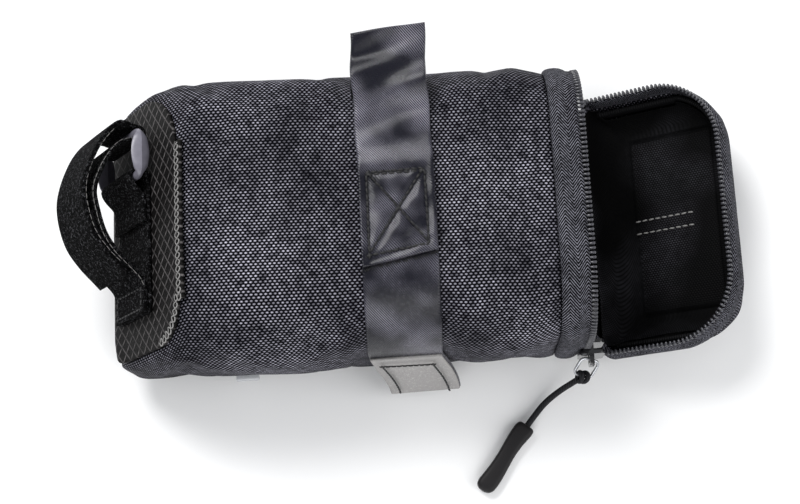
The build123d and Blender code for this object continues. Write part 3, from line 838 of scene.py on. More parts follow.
def applied(piece):
    """Applies every modifier of a piece."""
    depsgraph = bpy.context.evaluated_depsgraph_get()
    made = bpy.data.meshes.new_from_object(piece.evaluated_get(depsgraph))
    piece.modifiers.clear()
    made.name = piece.name
    piece.data = made
    return piece


def smoothed(piece):
    """Gives a piece one live subdivision."""
    smooth = piece.modifiers.new("Smooth", "SUBSURF")
    smooth.levels = smooth.render_levels = 1
    return piece


def thickened(piece, thickness):
    """Gives a sheet its thickness inwards and applies its modifiers."""
    wall = piece.modifiers.new("Wall", "SOLIDIFY")
    wall.thickness = thickness
    wall.offset = -1.0
    return applied(piece)


def places(piece):
    """Every vertex of a piece, as rows of an array."""
    co = np.zeros(len(piece.data.vertices) * 3)
    piece.data.vertices.foreach_get("co", co)
    return co.reshape(-1, 3)


def outward(piece):
    """Every vertex normal of a piece, as rows of an array."""
    normals = np.zeros(len(piece.data.vertices) * 3)
    piece.data.vertices.foreach_get("normal", normals)
    return normals.reshape(-1, 3)


def moved(piece, co):
    """Puts the vertices of a piece in new places."""
    piece.data.vertices.foreach_set("co", np.asarray(co, np.float32).ravel())
    piece.data.update()


def swell_out(piece, pins, pressure, furthest):
    """Lets the padding push the fabric out in a cloth simulation, and applies the result."""
    start = places(piece)
    group = piece.vertex_groups.new(name=PIN_GROUP)
    for index, weight in enumerate(pins):
        group.add([index], float(weight), "REPLACE")
    cloth = piece.modifiers.new("Cloth", "CLOTH")
    settings = cloth.settings
    settings.quality = 6
    settings.mass = 0.3
    settings.tension_stiffness = settings.compression_stiffness = 20.0
    settings.bending_stiffness = 0.4
    settings.use_pressure = True
    settings.uniform_pressure_force = pressure
    settings.shrink_min = -0.012
    settings.effector_weights.gravity = 0.0
    settings.vertex_group_mass = PIN_GROUP
    for step in range(1, CLOTH_FRAMES + 1):
        bpy.context.scene.frame_set(step)
    depsgraph = bpy.context.evaluated_depsgraph_get()
    pushed = places(piece.evaluated_get(depsgraph))
    piece.modifiers.clear()
    piece.vertex_groups.clear()
    bpy.context.scene.frame_set(1)
    shift = np.nan_to_num(pushed - start)
    length = np.linalg.norm(shift, axis=1, keepdims=True)
    moved(piece, start + shift * np.minimum(1.0, furthest / np.maximum(length, 1e-9)))


def fade(value, low, high):
    """0 below low, 1 above high, and smooth between."""
    t = np.clip((np.asarray(value, float) - low) / (high - low), 0, 1)
    return t * t * (3 - 2 * t)


def seam_height(x):
    """Height of the base seam, which climbs with the underside towards the rear."""
    return max(0.0, x - REAR_SLOPE_X) * REAR_SLOPE + SEAM_RISE


def is_base(place):
    """Whether a place on the body lies on the base fabric, below and before the seam."""
    before = (Vector(place) - PLATE_ORIGIN).dot(OFF_PLATE) > -SEAM_RISE
    return before or place[2] < seam_height(place[0])


def body_stations():
    """Places along the body where its outer form is read, closer together at the nose."""
    near_tip = NOSE_TIP_X + np.array([0.05, 0.4, 1.1, 2.2, 3.8, 6.0]) * MM
    rest = np.arange(NOSE_TIP_X + 8.6 * MM, MOUTH_X - 1.0 * MM, 2.9 * MM)
    return [*near_tip, *rest, MOUTH_X - 0.05 * MM]


def close_nose(work, tip):
    """Closes the slit at the nose's tip, each place on its lower edge with the one above it."""
    layer = work.loops.layers.uv["weave"]
    half, quarter = RING_POINTS // 2, RING_POINTS // 4
    for j in (*range(quarter), *range(half, half + quarter)):
        corners = list(dict.fromkeys((tip[j], tip[j + 1], tip[half - j - 1], tip[half - j])))
        if len(corners) > 2:
            for loop in work.faces.new(corners).loops:
                loop[layer].uv = loop.vert.co.yz


def body_sheet(name, inset, finish, last_x=None):
    """Sheet over the whole body at a depth below its outer face."""
    stations = [x for x in body_stations() if last_x is None or x < last_x]
    if last_x is not None:
        stations.append(last_x)
    rows, uvs = ring_rows(BODY_TREE, stations)
    work, verts = grid(rows, uvs, closed=True)
    close_nose(work, verts[0])
    bmesh.ops.remove_doubles(work, verts=work.verts, dist=0.02 * MM)
    piece = finish_mesh(name, work, finish)
    if inset:
        moved(piece, places(piece) - outward(piece) * inset)
    return piece


class BAG_OT_body_fabric(bpy.types.Operator):
    """Padded outer fabric of the body: the top and sides, and the base below its seam"""

    bl_idname = "saddle_bag.body_fabric"
    bl_label = "Body Fabric"

    def execute(self, context):
        sizes = context.scene.bag_sizes
        piece = body_sheet("body_fabric", 0.0, FINISHES["weave"])
        co, normals = places(piece), outward(piece)
        strap = 1 - fade(np.abs(co[:, 0]), 13 * MM, 22 * MM)
        under_strap = strap * np.maximum(fade(co[:, 2], 45 * MM, 60 * MM), fade(-co[:, 1], 30 * MM, 42 * MM))
        mouth = fade(co[:, 0], MOUTH_X - 12 * MM, MOUTH_X - 1 * MM)
        floor = 1 - fade(co[:, 2], 2.5 * MM, 10 * MM)
        front = fade([(Vector(p) - PLATE_ORIGIN).dot(OFF_PLATE) for p in co], -9 * MM, -1 * MM)
        held = np.clip(np.maximum.reduce([mouth, floor, front, under_strap]), 0, 1)
        shoulder = fade(np.abs(co[:, 1]), 20 * MM, 38 * MM) * fade(co[:, 2], 12 * MM, 34 * MM)
        push = (shoulder * sizes.shoulder - 0.7 * MM) * (1 - held) - 0.35 * MM * under_strap
        moved(piece, co + normals * push[:, None])
        swell_out(piece, held, 4.0, sizes.swell)
        co, normals = places(piece), outward(piece)
        free = 1 - held
        depth = np.array([
            rock(p[0] * 0.55, p[1], p[2], scale=42, seed=3) * 0.55
            + rock(p[0], p[1] * 0.6, p[2] * 1.4, scale=95, seed=9) * 0.25
            for p in co
        ])
        near_front = fade(-co[:, 1], 34 * MM, 46 * MM) * (1 - fade(co[:, 0], -40 * MM, 5 * MM))
        slant = np.array([rock(p[0] + p[2] * 0.9, p[2] * 0.15, 0, scale=130, seed=21) for p in co])
        edge = fade(co[:, 0], MOUTH_X - 2.2 * MM, MOUTH_X)
        lift = depth * free * sizes.crease + slant * near_front * free * sizes.crease * 1.3 - edge * 0.7 * MM
        moved(piece, co + normals * lift[:, None])
        applied(smoothed(piece))
        base = twin(piece, "base_fabric")
        self.padding_layer(piece, sizes)
        keep_faces(piece, lambda place: not is_base(place))
        keep_faces(base, is_base)
        for part, node in ((piece, "body_shell"), (base, "base_panel")):
            thickened(part, sizes.fabric_thickness)
            done(part, "body", "ballistic_fabric", node)
        return {"FINISHED"}

    def padding_layer(self, fabric, sizes):
        """Foam that follows the fabric's inner face."""
        layer = twin(fabric, "body_padding")
        keep_faces(layer, lambda place: place[0] < MOUTH_X - 2.5 * MM)
        layer.data.materials.clear()
        layer.data.materials.append(FINISHES["foam"])
        moved(layer, places(layer) - outward(layer) * (sizes.fabric_thickness + 0.05 * MM))
        thickened(layer, 1.3 * MM)
        done(layer, "body", "foam", "body_foam")


class BAG_OT_lining(bpy.types.Operator):
    """Lining of the body, loose over its padding"""

    bl_idname = "saddle_bag.lining"
    bl_label = "Lining"

    def execute(self, context):
        sizes = context.scene.bag_sizes
        piece = body_sheet("body_inner_lining", sizes.padding, FINISHES["lining"], 50.6 * MM)
        co = places(piece)
        loose = 1 - fade(co[:, 0], 42 * MM, 50 * MM)
        slack = np.array([
            rock(*p, scale=55, seed=5) * 0.8 + rock(p[0] * 0.4, p[1] * 1.5, p[2], scale=120, seed=8) * 0.4
            for p in co
        ])
        moved(piece, co - outward(piece) * ((0.5 + slack) * loose * 1.0 * MM)[:, None])
        thickened(smoothed(piece), LINING_THICKNESS)
        done(piece, "body", "lining_fabric", "body_lining")
        return {"FINISHED"}


class BAG_OT_front_plate(bpy.types.Operator):
    """Laminated front plate with its overlocked edge"""

    bl_idname = "saddle_bag.front_plate"
    bl_label = "Front Plate"

    def execute(self, context):
        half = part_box("front_panel")[1].y
        top = 34.0 * MM
        bottom = top - PLATE_LENGTH
        corner = 5.0 * MM
        crown_z = 63.0 * MM
        rows, uvs = [], []
        for slope_place in np.linspace(bottom, top, 44):
            z = (PLATE_ORIGIN + UP_SLOPE * slope_place).z
            rise = slope_place - bottom
            widths = []
            for curve in (13.0 * MM, 20.5 * MM):
                width = half
                if z > crown_z - curve:
                    across = curve**2 - (z - crown_z + curve) ** 2
                    width = half - curve + math.sqrt(max(across, 1e-12))
                if rise < corner:
                    across = corner**2 - (corner - rise) ** 2
                    width = min(width, half - corner + math.sqrt(across))
                widths.append(width)
            row_points, row_uvs = [], []
            for share in np.linspace(-1, 1, 61):
                width = widths[0] if share < 0 else widths[1]
                y = width * math.sin(share * math.pi / 2) * 0.35 + width * share * 0.65
                near_edge = 1 - fade(width - abs(y), 0, 4 * MM)
                wave = rock(y, slope_place, 0, scale=40, seed=2) * 0.6 * MM
                belly = 0.8 * MM * fade(-slope_place, 8 * MM, 19 * MM)
                off = 1.55 * MM + wave * 0.5 - near_edge * 0.35 * MM + belly
                row_points.append(PLATE_ORIGIN + Y_AXIS * y + UP_SLOPE * slope_place + OFF_PLATE * float(off))
                row_uvs.append((y, slope_place))
            rows.append(row_points)
            uvs.append(row_uvs)
        work, _ = grid(rows, uvs)
        piece = finish_mesh("front_plate", work, FINISHES["laminate"], recalculate=False)
        if piece.data.polygons[0].normal.dot(OFF_PLATE) < 0:
            piece.data.flip_normals()
        thickened(piece, 1.3 * MM)
        done(piece, "body", "ripstop_laminate", "front_panel")
        upper = [r[1] for r in rows if (r[1] - PLATE_ORIGIN).dot(UP_SLOPE) > 16 * MM]
        self.overlock([*upper[:-1], *rows[-2][2:-2]])
        return {"FINISHED"}

    def overlock(self, edge):
        """Two threads that swing to and fro over the plate's edge and cross each other."""
        swing, wave = 1.35 * MM, 4.6 * MM
        line = resampled([tuple(p) for p in edge], 0.32 * MM)
        along = lengths_along(line)
        phase = 2 * math.pi * along / wave
        off = np.array(OFF_PLATE)
        beside_edge = unit(np.cross(unit(np.gradient(line, axis=0)), off))
        profile = round_profile(0.23 * MM, 5)
        for side in (-1, 1):
            uneven = np.array([1 + 0.25 * rock(a, 0, side, scale=300, seed=4) for a in along])
            across = side * swing * uneven * np.sin(phase)
            rise = 0.3 * MM + 0.16 * MM * side * np.cos(phase)
            path = line + beside_edge * across[:, None] + off * rise[:, None]
            thread = sweep("plate_overlock", path, tuple(OFF_PLATE), profile, FINISHES["pale_thread"])
            done(thread, "body", "ripstop_laminate")


# The zip

ZIP_LOW = HINGE.z + 4.6 * MM
TAPE_X = 56.6 * MM
BODY_TEETH_X = 62.3 * MM
FLAP_TEETH_X = 65.7 * MM
FLAP_TAPE_X = 71.4 * MM


def rim_path(tree, x, seat_x=None, lowest=ZIP_LOW, step=1.2 * MM):
    """Path round the zipped rim at one place along the bag, from the near side over to the far side."""
    ring_points = outer_ring(tree, x, 4 * RING_POINTS)
    path = np.array([p for p in ring_points if p[2] > lowest])
    if seat_x is not None:
        path[:, 0] = seat_x
    return resampled(path, step)


def rim_up(path):
    """Directions that stand out from the rim."""
    ahead = unit(np.gradient(path, axis=0))
    return unit(np.cross(np.broadcast_to([1.0, 0, 0], path.shape), ahead))


def mm(points):
    """A cross-section given in millimetres."""
    return [(a * MM, b * MM) for a, b in points]


BODY_TAPE = mm([
    (-4.8, -0.35), (-4.5, 0.45), (-3.7, 0.95), (-2.4, 1.25), (-0.8, 1.35), (0.8, 1.15), (2.0, 0.7),
    (2.8, 0.2), (3.4, 0.02), (4.8, -0.05), (4.8, -0.85), (2.0, -0.95), (-2.0, -0.95), (-4.8, -0.95),
])
FLAP_TAPE = mm([
    (-4.5, -0.05), (-3.2, 0.05), (-2.6, 0.35), (-1.0, 0.75), (1.0, 0.85), (3.0, 0.7), (4.3, 0.3),
    (4.75, -0.3), (4.75, -0.95), (2.0, -0.95), (-2.0, -0.9), (-4.5, -0.85),
])
BINDING = mm([
    (-2.9, -1.5), (-2.0, -1.35), (2.0, -1.35), (2.9, -1.5),
    (3.0, -2.2), (2.7, -3.0), (-2.7, -3.0), (-3.0, -2.2),
])


def uneven_tape(seed):
    """Section change that makes a tape slightly uneven along its length."""

    def shape(along, _, section):
        section[:, 1] += rock(along, 0, 0, scale=60, seed=seed) * 0.22 * MM
        section[:, 0] += rock(along, 1, 0, scale=35, seed=seed) * 0.18 * MM
        return section

    return shape


class BAG_OT_zip(bpy.types.Operator):
    """Zip tapes, teeth, stops and the binding inside the mouth, on the body and the flap"""

    bl_idname = "saddle_bag.zip"
    bl_label = "Zip"

    def execute(self, context):
        sizes = context.scene.bag_sizes
        path = rim_path(BODY_TREE, TAPE_X)
        tape = sweep("body_tape", path, X_AXIS, BODY_TAPE, FINISHES["tape"], uneven_tape(1))
        done(tape, "body", "zip_tape", "body_zip_tape")
        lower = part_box("body_binding")[0].z + 6 * MM
        mouth_edge = rim_path(BODY_TREE, 53.0 * MM, 52.9 * MM, lower)
        binding = sweep("mouth_binding", mouth_edge, X_AXIS, BINDING, FINISHES["binding"])
        done(binding, "body", "binding_tape", "body_binding")
        flap_path = rim_path(FLAP_TREE, FLAP_TAPE_X)
        flap_tape = swung(sweep("flap_tape", flap_path, X_AXIS, FLAP_TAPE, FINISHES["tape"], uneven_tape(2)))
        done(flap_tape, "flap", "zip_tape", "flap_zip_tape")
        flap_edge = rim_path(FLAP_TREE, 75.4 * MM, 75.2 * MM, lower)
        flap_binding = swung(sweep("flap_edge_binding", flap_edge, X_AXIS, BINDING, FINISHES["binding"]))
        done(flap_binding, "flap", "binding_tape", "flap_binding")
        line = self.teeth_line(BODY_TREE, 61.0 * MM, BODY_TEETH_X)
        teeth = self.teeth("body_teeth", line, rim_up(line), sizes, sizes.seed)
        done(teeth, "body", "zip_coil", "body_zip_coil")
        line = self.teeth_line(FLAP_TREE, 68.0 * MM, FLAP_TEETH_X)
        teeth = self.teeth("flap_teeth", line[::-1], rim_up(line)[::-1], sizes, sizes.seed + 1)
        done(swung(teeth), "flap", "zip_coil", "flap_zip_coil")
        for name in ("body_zip_stop", "flap_zip_stop"):
            paint(name, "teeth")
        paint("flap_foam", "foam")
        return {"FINISHED"}

    def teeth_line(self, tree, read_x, seat_x):
        """Line of the teeth, just below the rim that is read at a place near them."""
        line = rim_path(tree, read_x, seat_x, ZIP_LOW + 2.6 * MM)
        return line - rim_up(line) * 0.35 * MM

    def teeth(self, name, line, ups, sizes, seed):
        """One side of the zip's teeth."""
        tooth = block_unit((0.9 * MM, 2.3 * MM, 1.7 * MM), 0.24 * MM, 0.7)
        return row(name, [line], [ups], tooth, sizes.tooth_pitch, FINISHES["teeth"], 0.05, seed)


def paint(node, finish):
    """Gives a CAD node that stays in view its material."""
    mesh = frame["nodes"][node].data
    mesh.materials.clear()
    mesh.materials.append(FINISHES[finish])


# The flap

FLAP_START = 64.5 * MM
FLAP_SHELL_X = 76.2 * MM
FLAP_END_X = FLAP_TREE.ray_cast(Vector((RAY_REACH, 0, 40 * MM)), Vector((-1, 0, 0)))[0].x


def flap_sheet(name, inset, finish, start):
    """Sheet over the closed flap's outer face, from a place along the bag to the middle of its end."""
    near_end = FLAP_END_X - np.array([6.6, 5.4, 4.2, 3.1, 2.2, 1.4, 0.8, 0.35, 0.08]) * MM
    stations = [*np.arange(start, FLAP_END_X - 7.2 * MM, 2.2 * MM), *near_end]
    rows, uvs = ring_rows(FLAP_TREE, stations)
    shares = (0.97, 0.9, 0.8, 0.68, 0.55, 0.42, 0.3, 0.18, 0.08)
    more_rows, more_uvs = end_rows(rows[-1], FLAP_END_X, shares)
    work, verts = grid([*rows, *more_rows], [*uvs, *more_uvs], closed=True)
    middle = work.faces.new(verts[-1])
    for loop, spot in zip(middle.loops, more_uvs[-1]):
        loop[work.loops.layers.uv["weave"]].uv = spot
    piece = finish_mesh(name, work, finish)
    if inset:
        moved(piece, places(piece) - outward(piece) * inset)
    return piece


def in_flap_shell(place):
    """Whether a place on the closed flap lies on its fabric, which starts under the zip tape or the seam."""
    return place[0] > FLAP_SHELL_X - 2.6 * MM or place[2] < seam_height(place[0])


class BAG_OT_flap(bpy.types.Operator):
    """Flap's outer fabric, its lining, and the fabric strip that hinges it to the base"""

    bl_idname = "saddle_bag.flap"
    bl_label = "Flap"

    def execute(self, context):
        sizes = context.scene.bag_sizes
        outer = flap_sheet("flap_fabric", 0.0, FINISHES["weave"], FLAP_START)
        co = places(outer)
        free = fade(co[:, 0], FLAP_SHELL_X, FLAP_SHELL_X + 5 * MM)
        crease = np.array([
            rock(*p, scale=60, seed=11) + rock(p[0], p[1] * 2, p[2], scale=120, seed=12) * 0.5 for p in co
        ])
        moved(outer, co + outward(outer) * (free * crease * sizes.crease - free * 0.3 * MM)[:, None])
        keep_faces(outer, in_flap_shell)
        thickened(smoothed(outer), sizes.fabric_thickness)
        done(swung(outer), "flap", "ballistic_fabric", "flap_cap")
        inner = flap_sheet("flap_inner_lining", sizes.padding, FINISHES["lining"], 68.0 * MM)
        co = places(inner)
        slack = np.array([
            rock(*p, scale=70, seed=15) * 0.7 + rock(p[0], p[1], p[2] * 0.3, scale=150, seed=16) * 0.4
            for p in co
        ])
        moved(inner, co - outward(inner) * ((0.35 + slack) * 0.8 * MM)[:, None])
        keep_faces(inner, lambda place: place[0] > FLAP_SHELL_X - 1.5 * MM or place[2] < HINGE.z + 9 * MM)
        thickened(smoothed(inner), LINING_THICKNESS)
        done(swung(inner), "flap", "lining_fabric", "flap_lining")
        self.hinge_strip()
        return {"FINISHED"}

    def hinge_strip(self):
        """Fabric strip across the hinge, drawn bent to the open flap."""
        stations = np.linspace(58.5, 70.0, 16) * MM
        rows, uvs = [], []
        for x in stations:
            tree = BODY_TREE if x < HINGE.x else FLAP_TREE
            seat = min(x, 63.2 * MM) if x < HINGE.x else max(x, 64.8 * MM)
            ring_points = outer_ring(tree, seat, 4 * RING_POINTS)
            low = ring_points[:, 2].min()
            from_top = np.roll(ring_points, len(ring_points) // 2, axis=0)
            span = np.array([p for p in from_top if p[2] < low + 2.2 * MM])
            span = span[np.argsort(span[:, 1])]
            span[:, 0] = x
            span[:, 2] += 1.25 * MM
            strip = resampled(span, np.linalg.norm(span[-1] - span[0]) / 60)
            turn = about_hinge(FLAP_OPEN * float(fade(x, 61.0 * MM, 67.0 * MM)))
            rows.append([turn @ Vector(p) for p in strip[:58]])
            uvs.append([(p[1], x) for p in strip[:58]])
        work, _ = grid(rows, uvs)
        strip = finish_mesh("hinge_strip", work, FINISHES["plain"], recalculate=False)
        if strip.data.polygons[0].normal.z > 0:
            strip.data.flip_normals()
        thickened(strip, 0.7 * MM)
        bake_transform(strip)


# Webbing

PAD_THICKNESS = 0.9 * MM


def wavy(depth, seed, scale=50, slant=0.0, steady=()):
    """Section change that gives a strap soft slanting waves, and none along its steady stretch."""

    def shape(along, length, section):
        share = along / length
        calm = 1.0
        if steady:
            start, end = steady
            calm = 1 - fade(share, start - 0.04, start) * (1 - fade(share, end, end + 0.04))
        for point in section:
            point[1] += calm * depth * rock(along + point[0] * slant, 0, 0, scale=scale, seed=seed)
        return section

    return shape


def yz(points):
    """Points in the plane across the bag's middle, given in millimetres."""
    return [(0.0, y * MM, z * MM) for y, z in points]


def beside(points, distance):
    """Route in the plane across the bag, moved to the left of its way."""
    line = np.asarray(points, float)
    ahead = unit(np.gradient(line[:, 1:], axis=0))
    line[:, 1:] += distance * np.stack([-ahead[:, 1], ahead[:, 0]], axis=1)
    return line


def between(line, low, high):
    """Points of a line whose height lies in a range."""
    return line[(line[:, 2] > low) & (line[:, 2] < high)]


def loop_of(corners):
    """Closed outline of straight sides through corners, as one path."""
    return np.array([*corners, corners[0]], float)


def from_line(place, start, end):
    """Distance of places from a straight run, in plan."""
    start, way = np.asarray(start, float), np.asarray(end, float) - np.asarray(start, float)
    share = np.clip(((place - start) @ way) / (way @ way), 0, 1)
    return np.linalg.norm(place - start - share[:, None] * way, axis=1)


class BAG_OT_rail_straps(bpy.types.Operator):
    """Two hook-and-loop rail straps sewn across the top with a boxed cross"""

    bl_idname = "saddle_bag.rail_straps"
    bl_label = "Rail Straps"

    # Heights of the middle of the upper and the lower strap on the top, in millimetres
    over = 68.8
    under = 67.3
    box_corners = np.array([(-9.9, -20.6), (9.5, -17.4), (9.3, 7.9), (-9.7, 7.3)]) * MM

    def execute(self, context):
        sizes = context.scene.bag_sizes
        low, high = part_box("rail_strap_far")
        self.width = high.x - low.x
        profile = webbing_profile(self.width, sizes.webbing_thickness, 36)
        self.far_strap(profile)
        self.near_strap(profile)
        self.box_stitching(sizes)
        return {"FINISHED"}

    def box_runs(self):
        """Straight runs of stitches of the boxed cross."""
        a, b, c, d = self.box_corners
        return [(a, b), (b, c), (c, d), (d, a), (a, c), (b, d)]

    def far_strap(self, profile):
        """Far strap, whose free end stands out past the far side, and its hook pad."""
        over, under = self.over, self.under
        route = smooth_route(yz([
            (-22, over), (-14, over), (-4, over), (5, over), (9.5, over), (12.6, over - 0.2),
            (16.3, under + 0.2), (21, under), (26, under), (30, under), (33.7, under + 1.4), (38.3, 70.4),
            (43, 70.4), (47.4, 69.6), (52, 70.1), (56.5, 71.4),
        ]), 0.8 * MM)
        strap = sweep("far_strap", route, X_AXIS, profile, FINISHES["webbing"])
        co = places(strap)
        x, y = co[:, 0].copy(), co[:, 1].copy()
        free = fade(y, 10 * MM, 34 * MM)
        slanted = y - 0.42 * x
        roll = np.array([rock(b, a * 0.3, 0, scale=95, seed=31) for a, b in zip(x, slanted)])
        fold = np.sin((slanted - 48.4 * MM) * 2 * math.pi / (12 * MM))
        lift = 0.2 * MM * roll - free * 0.5 * MM * fold + free * 0.8 * MM * roll
        off_seam = np.min([from_line(np.stack([x, y], 1), *run) for run in self.box_runs()], axis=0)
        sewn = 1 - fade(y, 9 * MM, 14 * MM)
        pucker = np.array([rock(a, b, 0, scale=210, seed=44) for a, b in zip(x, y)])
        puff = 0.6 * MM * fade(off_seam, 0.2 * MM, 2.6 * MM)
        wrinkle = 0.5 * MM * pucker * (1 - fade(off_seam, 1.5 * MM, 6 * MM))
        lift += sewn * (puff + wrinkle - 0.3 * MM)
        co[:, 2] += lift
        co[:, 1] += x * (0.2 * fade(-y, 6 * MM, 22 * MM) + 0.11 * fade(y, 44 * MM, 56 * MM))
        co[:, 0] += -0.6 * MM * free + 0.4 * MM * np.sin(y * 260) * free
        moved(strap, co)
        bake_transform(strap)
        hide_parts("rail_strap_far", "rail_strap_far_end")
        hook = smooth_route(yz([(35.6, 67.9), (38.3, 69.0), (43, 69.0), (47, 68.3)]), 1.0 * MM)
        pad_profile = webbing_profile(self.width + 0.2 * MM, PAD_THICKNESS)
        patch = sweep("far_hook_pad", hook, X_AXIS, pad_profile, FINISHES["hook"])
        co = places(patch)
        co[:, 1] += co[:, 0] * 0.16
        co[:, 0] -= 0.9 * MM
        co[:, 2] -= 0.9 * MM * fade(co[:, 1], 36 * MM, 42 * MM)
        moved(patch, co)
        done(patch, "far_end", "hook_tape", "far_hook_patch")

    def near_strap(self, profile):
        """Near strap, bent over the near side, with its loop pad and the pad's stitches."""
        under = self.under
        y, z, radius = -23, 42.5, 24.8
        bend = [(y + radius * math.cos(a), z + radius * math.sin(a)) for a in np.radians(range(98, 180, 8))]
        low = [(-47.85, 40), (-48.0, 35), (-48.4, 30), (-49.5, 23), (-51.2, 16), (-52.8, 10), (-54.0, 5.6)]
        points = yz([(9.5, under), (0, under), (-10, under), (-18, under), (-23, under + 0.25), *bend, *low])
        route = smooth_route(points, 0.8 * MM)
        route[:, 0] = 6.5 * MM * (1 - fade(route[:, 2], 4 * MM, 42 * MM))
        strap = sweep("near_strap", route, (-1, 0, 0), profile, FINISHES["webbing"])
        co = places(strap)
        wave = np.array([rock(b + c + a * 0.3, 0, 0, scale=58, seed=37) for a, b, c in co])
        co[:, 2] += 0.45 * MM * wave * fade(-co[:, 1], 20 * MM, 26 * MM) * fade(co[:, 2], 42 * MM, 55 * MM)
        moved(strap, co)
        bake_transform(strap)
        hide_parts("rail_strap_near", "rail_strap_near_end")
        pad_route = between(beside(route, -1.2 * MM), 6.6 * MM, 39.5 * MM)
        pad_profile = webbing_profile(self.width - 0.6 * MM, PAD_THICKNESS, 24)
        # The loop pad's pale grey carries a painted sheen as well as its own tone.
        pad = sweep("near_loop_pad", pad_route, (-1, 0, 0), pad_profile, FINISHES["loop"])
        co = places(pad)
        ripple = np.array([rock(a * 0.4, 0, c, scale=75, seed=39) for a, b, c in co])
        co[:, 1] += 0.3 * MM * ripple
        moved(pad, co)
        done(pad, "near_end", "loop_tape", "near_loop_patch")
        line = between(beside(route, -1.75 * MM), 9.6 * MM, 35.0 * MM)
        sides = [line + np.array([side * 8.6 * MM, 0, 0]) for side in (-1, 1)]
        across = np.linspace(sides[0][0], sides[1][0], 12)
        stitch = stitch_unit(2.2 * MM, 0.75 * MM)
        ups = [(0, -1, 0.1)] * 3
        rows = row("near_pad_stitches", [across, *sides], ups, stitch, 1.9 * MM, FINISHES["thread"], 0.1, 5)
        done(rows, "near_end", "loop_tape")

    def box_stitching(self, sizes):
        """Boxed cross that holds both straps to the top, and the frayed end of the upper strap."""
        z = (self.over + 0.66) * MM
        inner = self.box_corners * 0.9
        paths = [loop_of([(x, y, z) for x, y in self.box_corners])]
        a, b, c, d = [(x, y, z) for x, y in inner]
        paths += [[a, c], [b, d], [d, c]]
        pitch = sizes.stitch_pitch * 0.9
        stitch = stitch_unit(sizes.stitch_pitch * 0.92, 0.85 * MM)
        lines, ups = [resampled(p, 0.8 * MM) for p in paths], [(0, 0, 1)] * 4
        rows = row("box_stitches", lines, ups, stitch, pitch, FINISHES["thread"], 0.16, sizes.seed)
        done(rows, "body", "satin_webbing")
        edge_z = (self.over - 0.45) * MM
        left, right = (-12.4 * MM, -24.8 * MM, edge_z), (12.4 * MM, -19.8 * MM, edge_z)
        end = [resampled([left, right], 0.8 * MM)]
        frays = row("strap_end_fray", end, [(0, 0, 1)], thread_tuft(), 0.6 * MM, FINISHES["thread"], 1.2, 17)
        done(frays, "body", "satin_webbing")


def thread_tuft():
    """Short loose yarn end, lying across its row."""
    unit_piece = stitch_unit(1.5 * MM, 0.28 * MM)
    quarter_turn = Matrix.Rotation(math.radians(90), 4, "Z")
    unit_piece.data.transform(quarter_turn @ Matrix.Translation((-0.5 * MM, 0, 0)))
    return unit_piece


def on_plate(points, up_slope=0.0):
    """Points given as (along Y, off the plate) in millimetres, in the seatpost strap's plane."""
    start = PLATE_ORIGIN
    return [tuple(start + Y_AXIS * y * MM + OFF_PLATE * off * MM + UP_SLOPE * up_slope) for y, off in points]


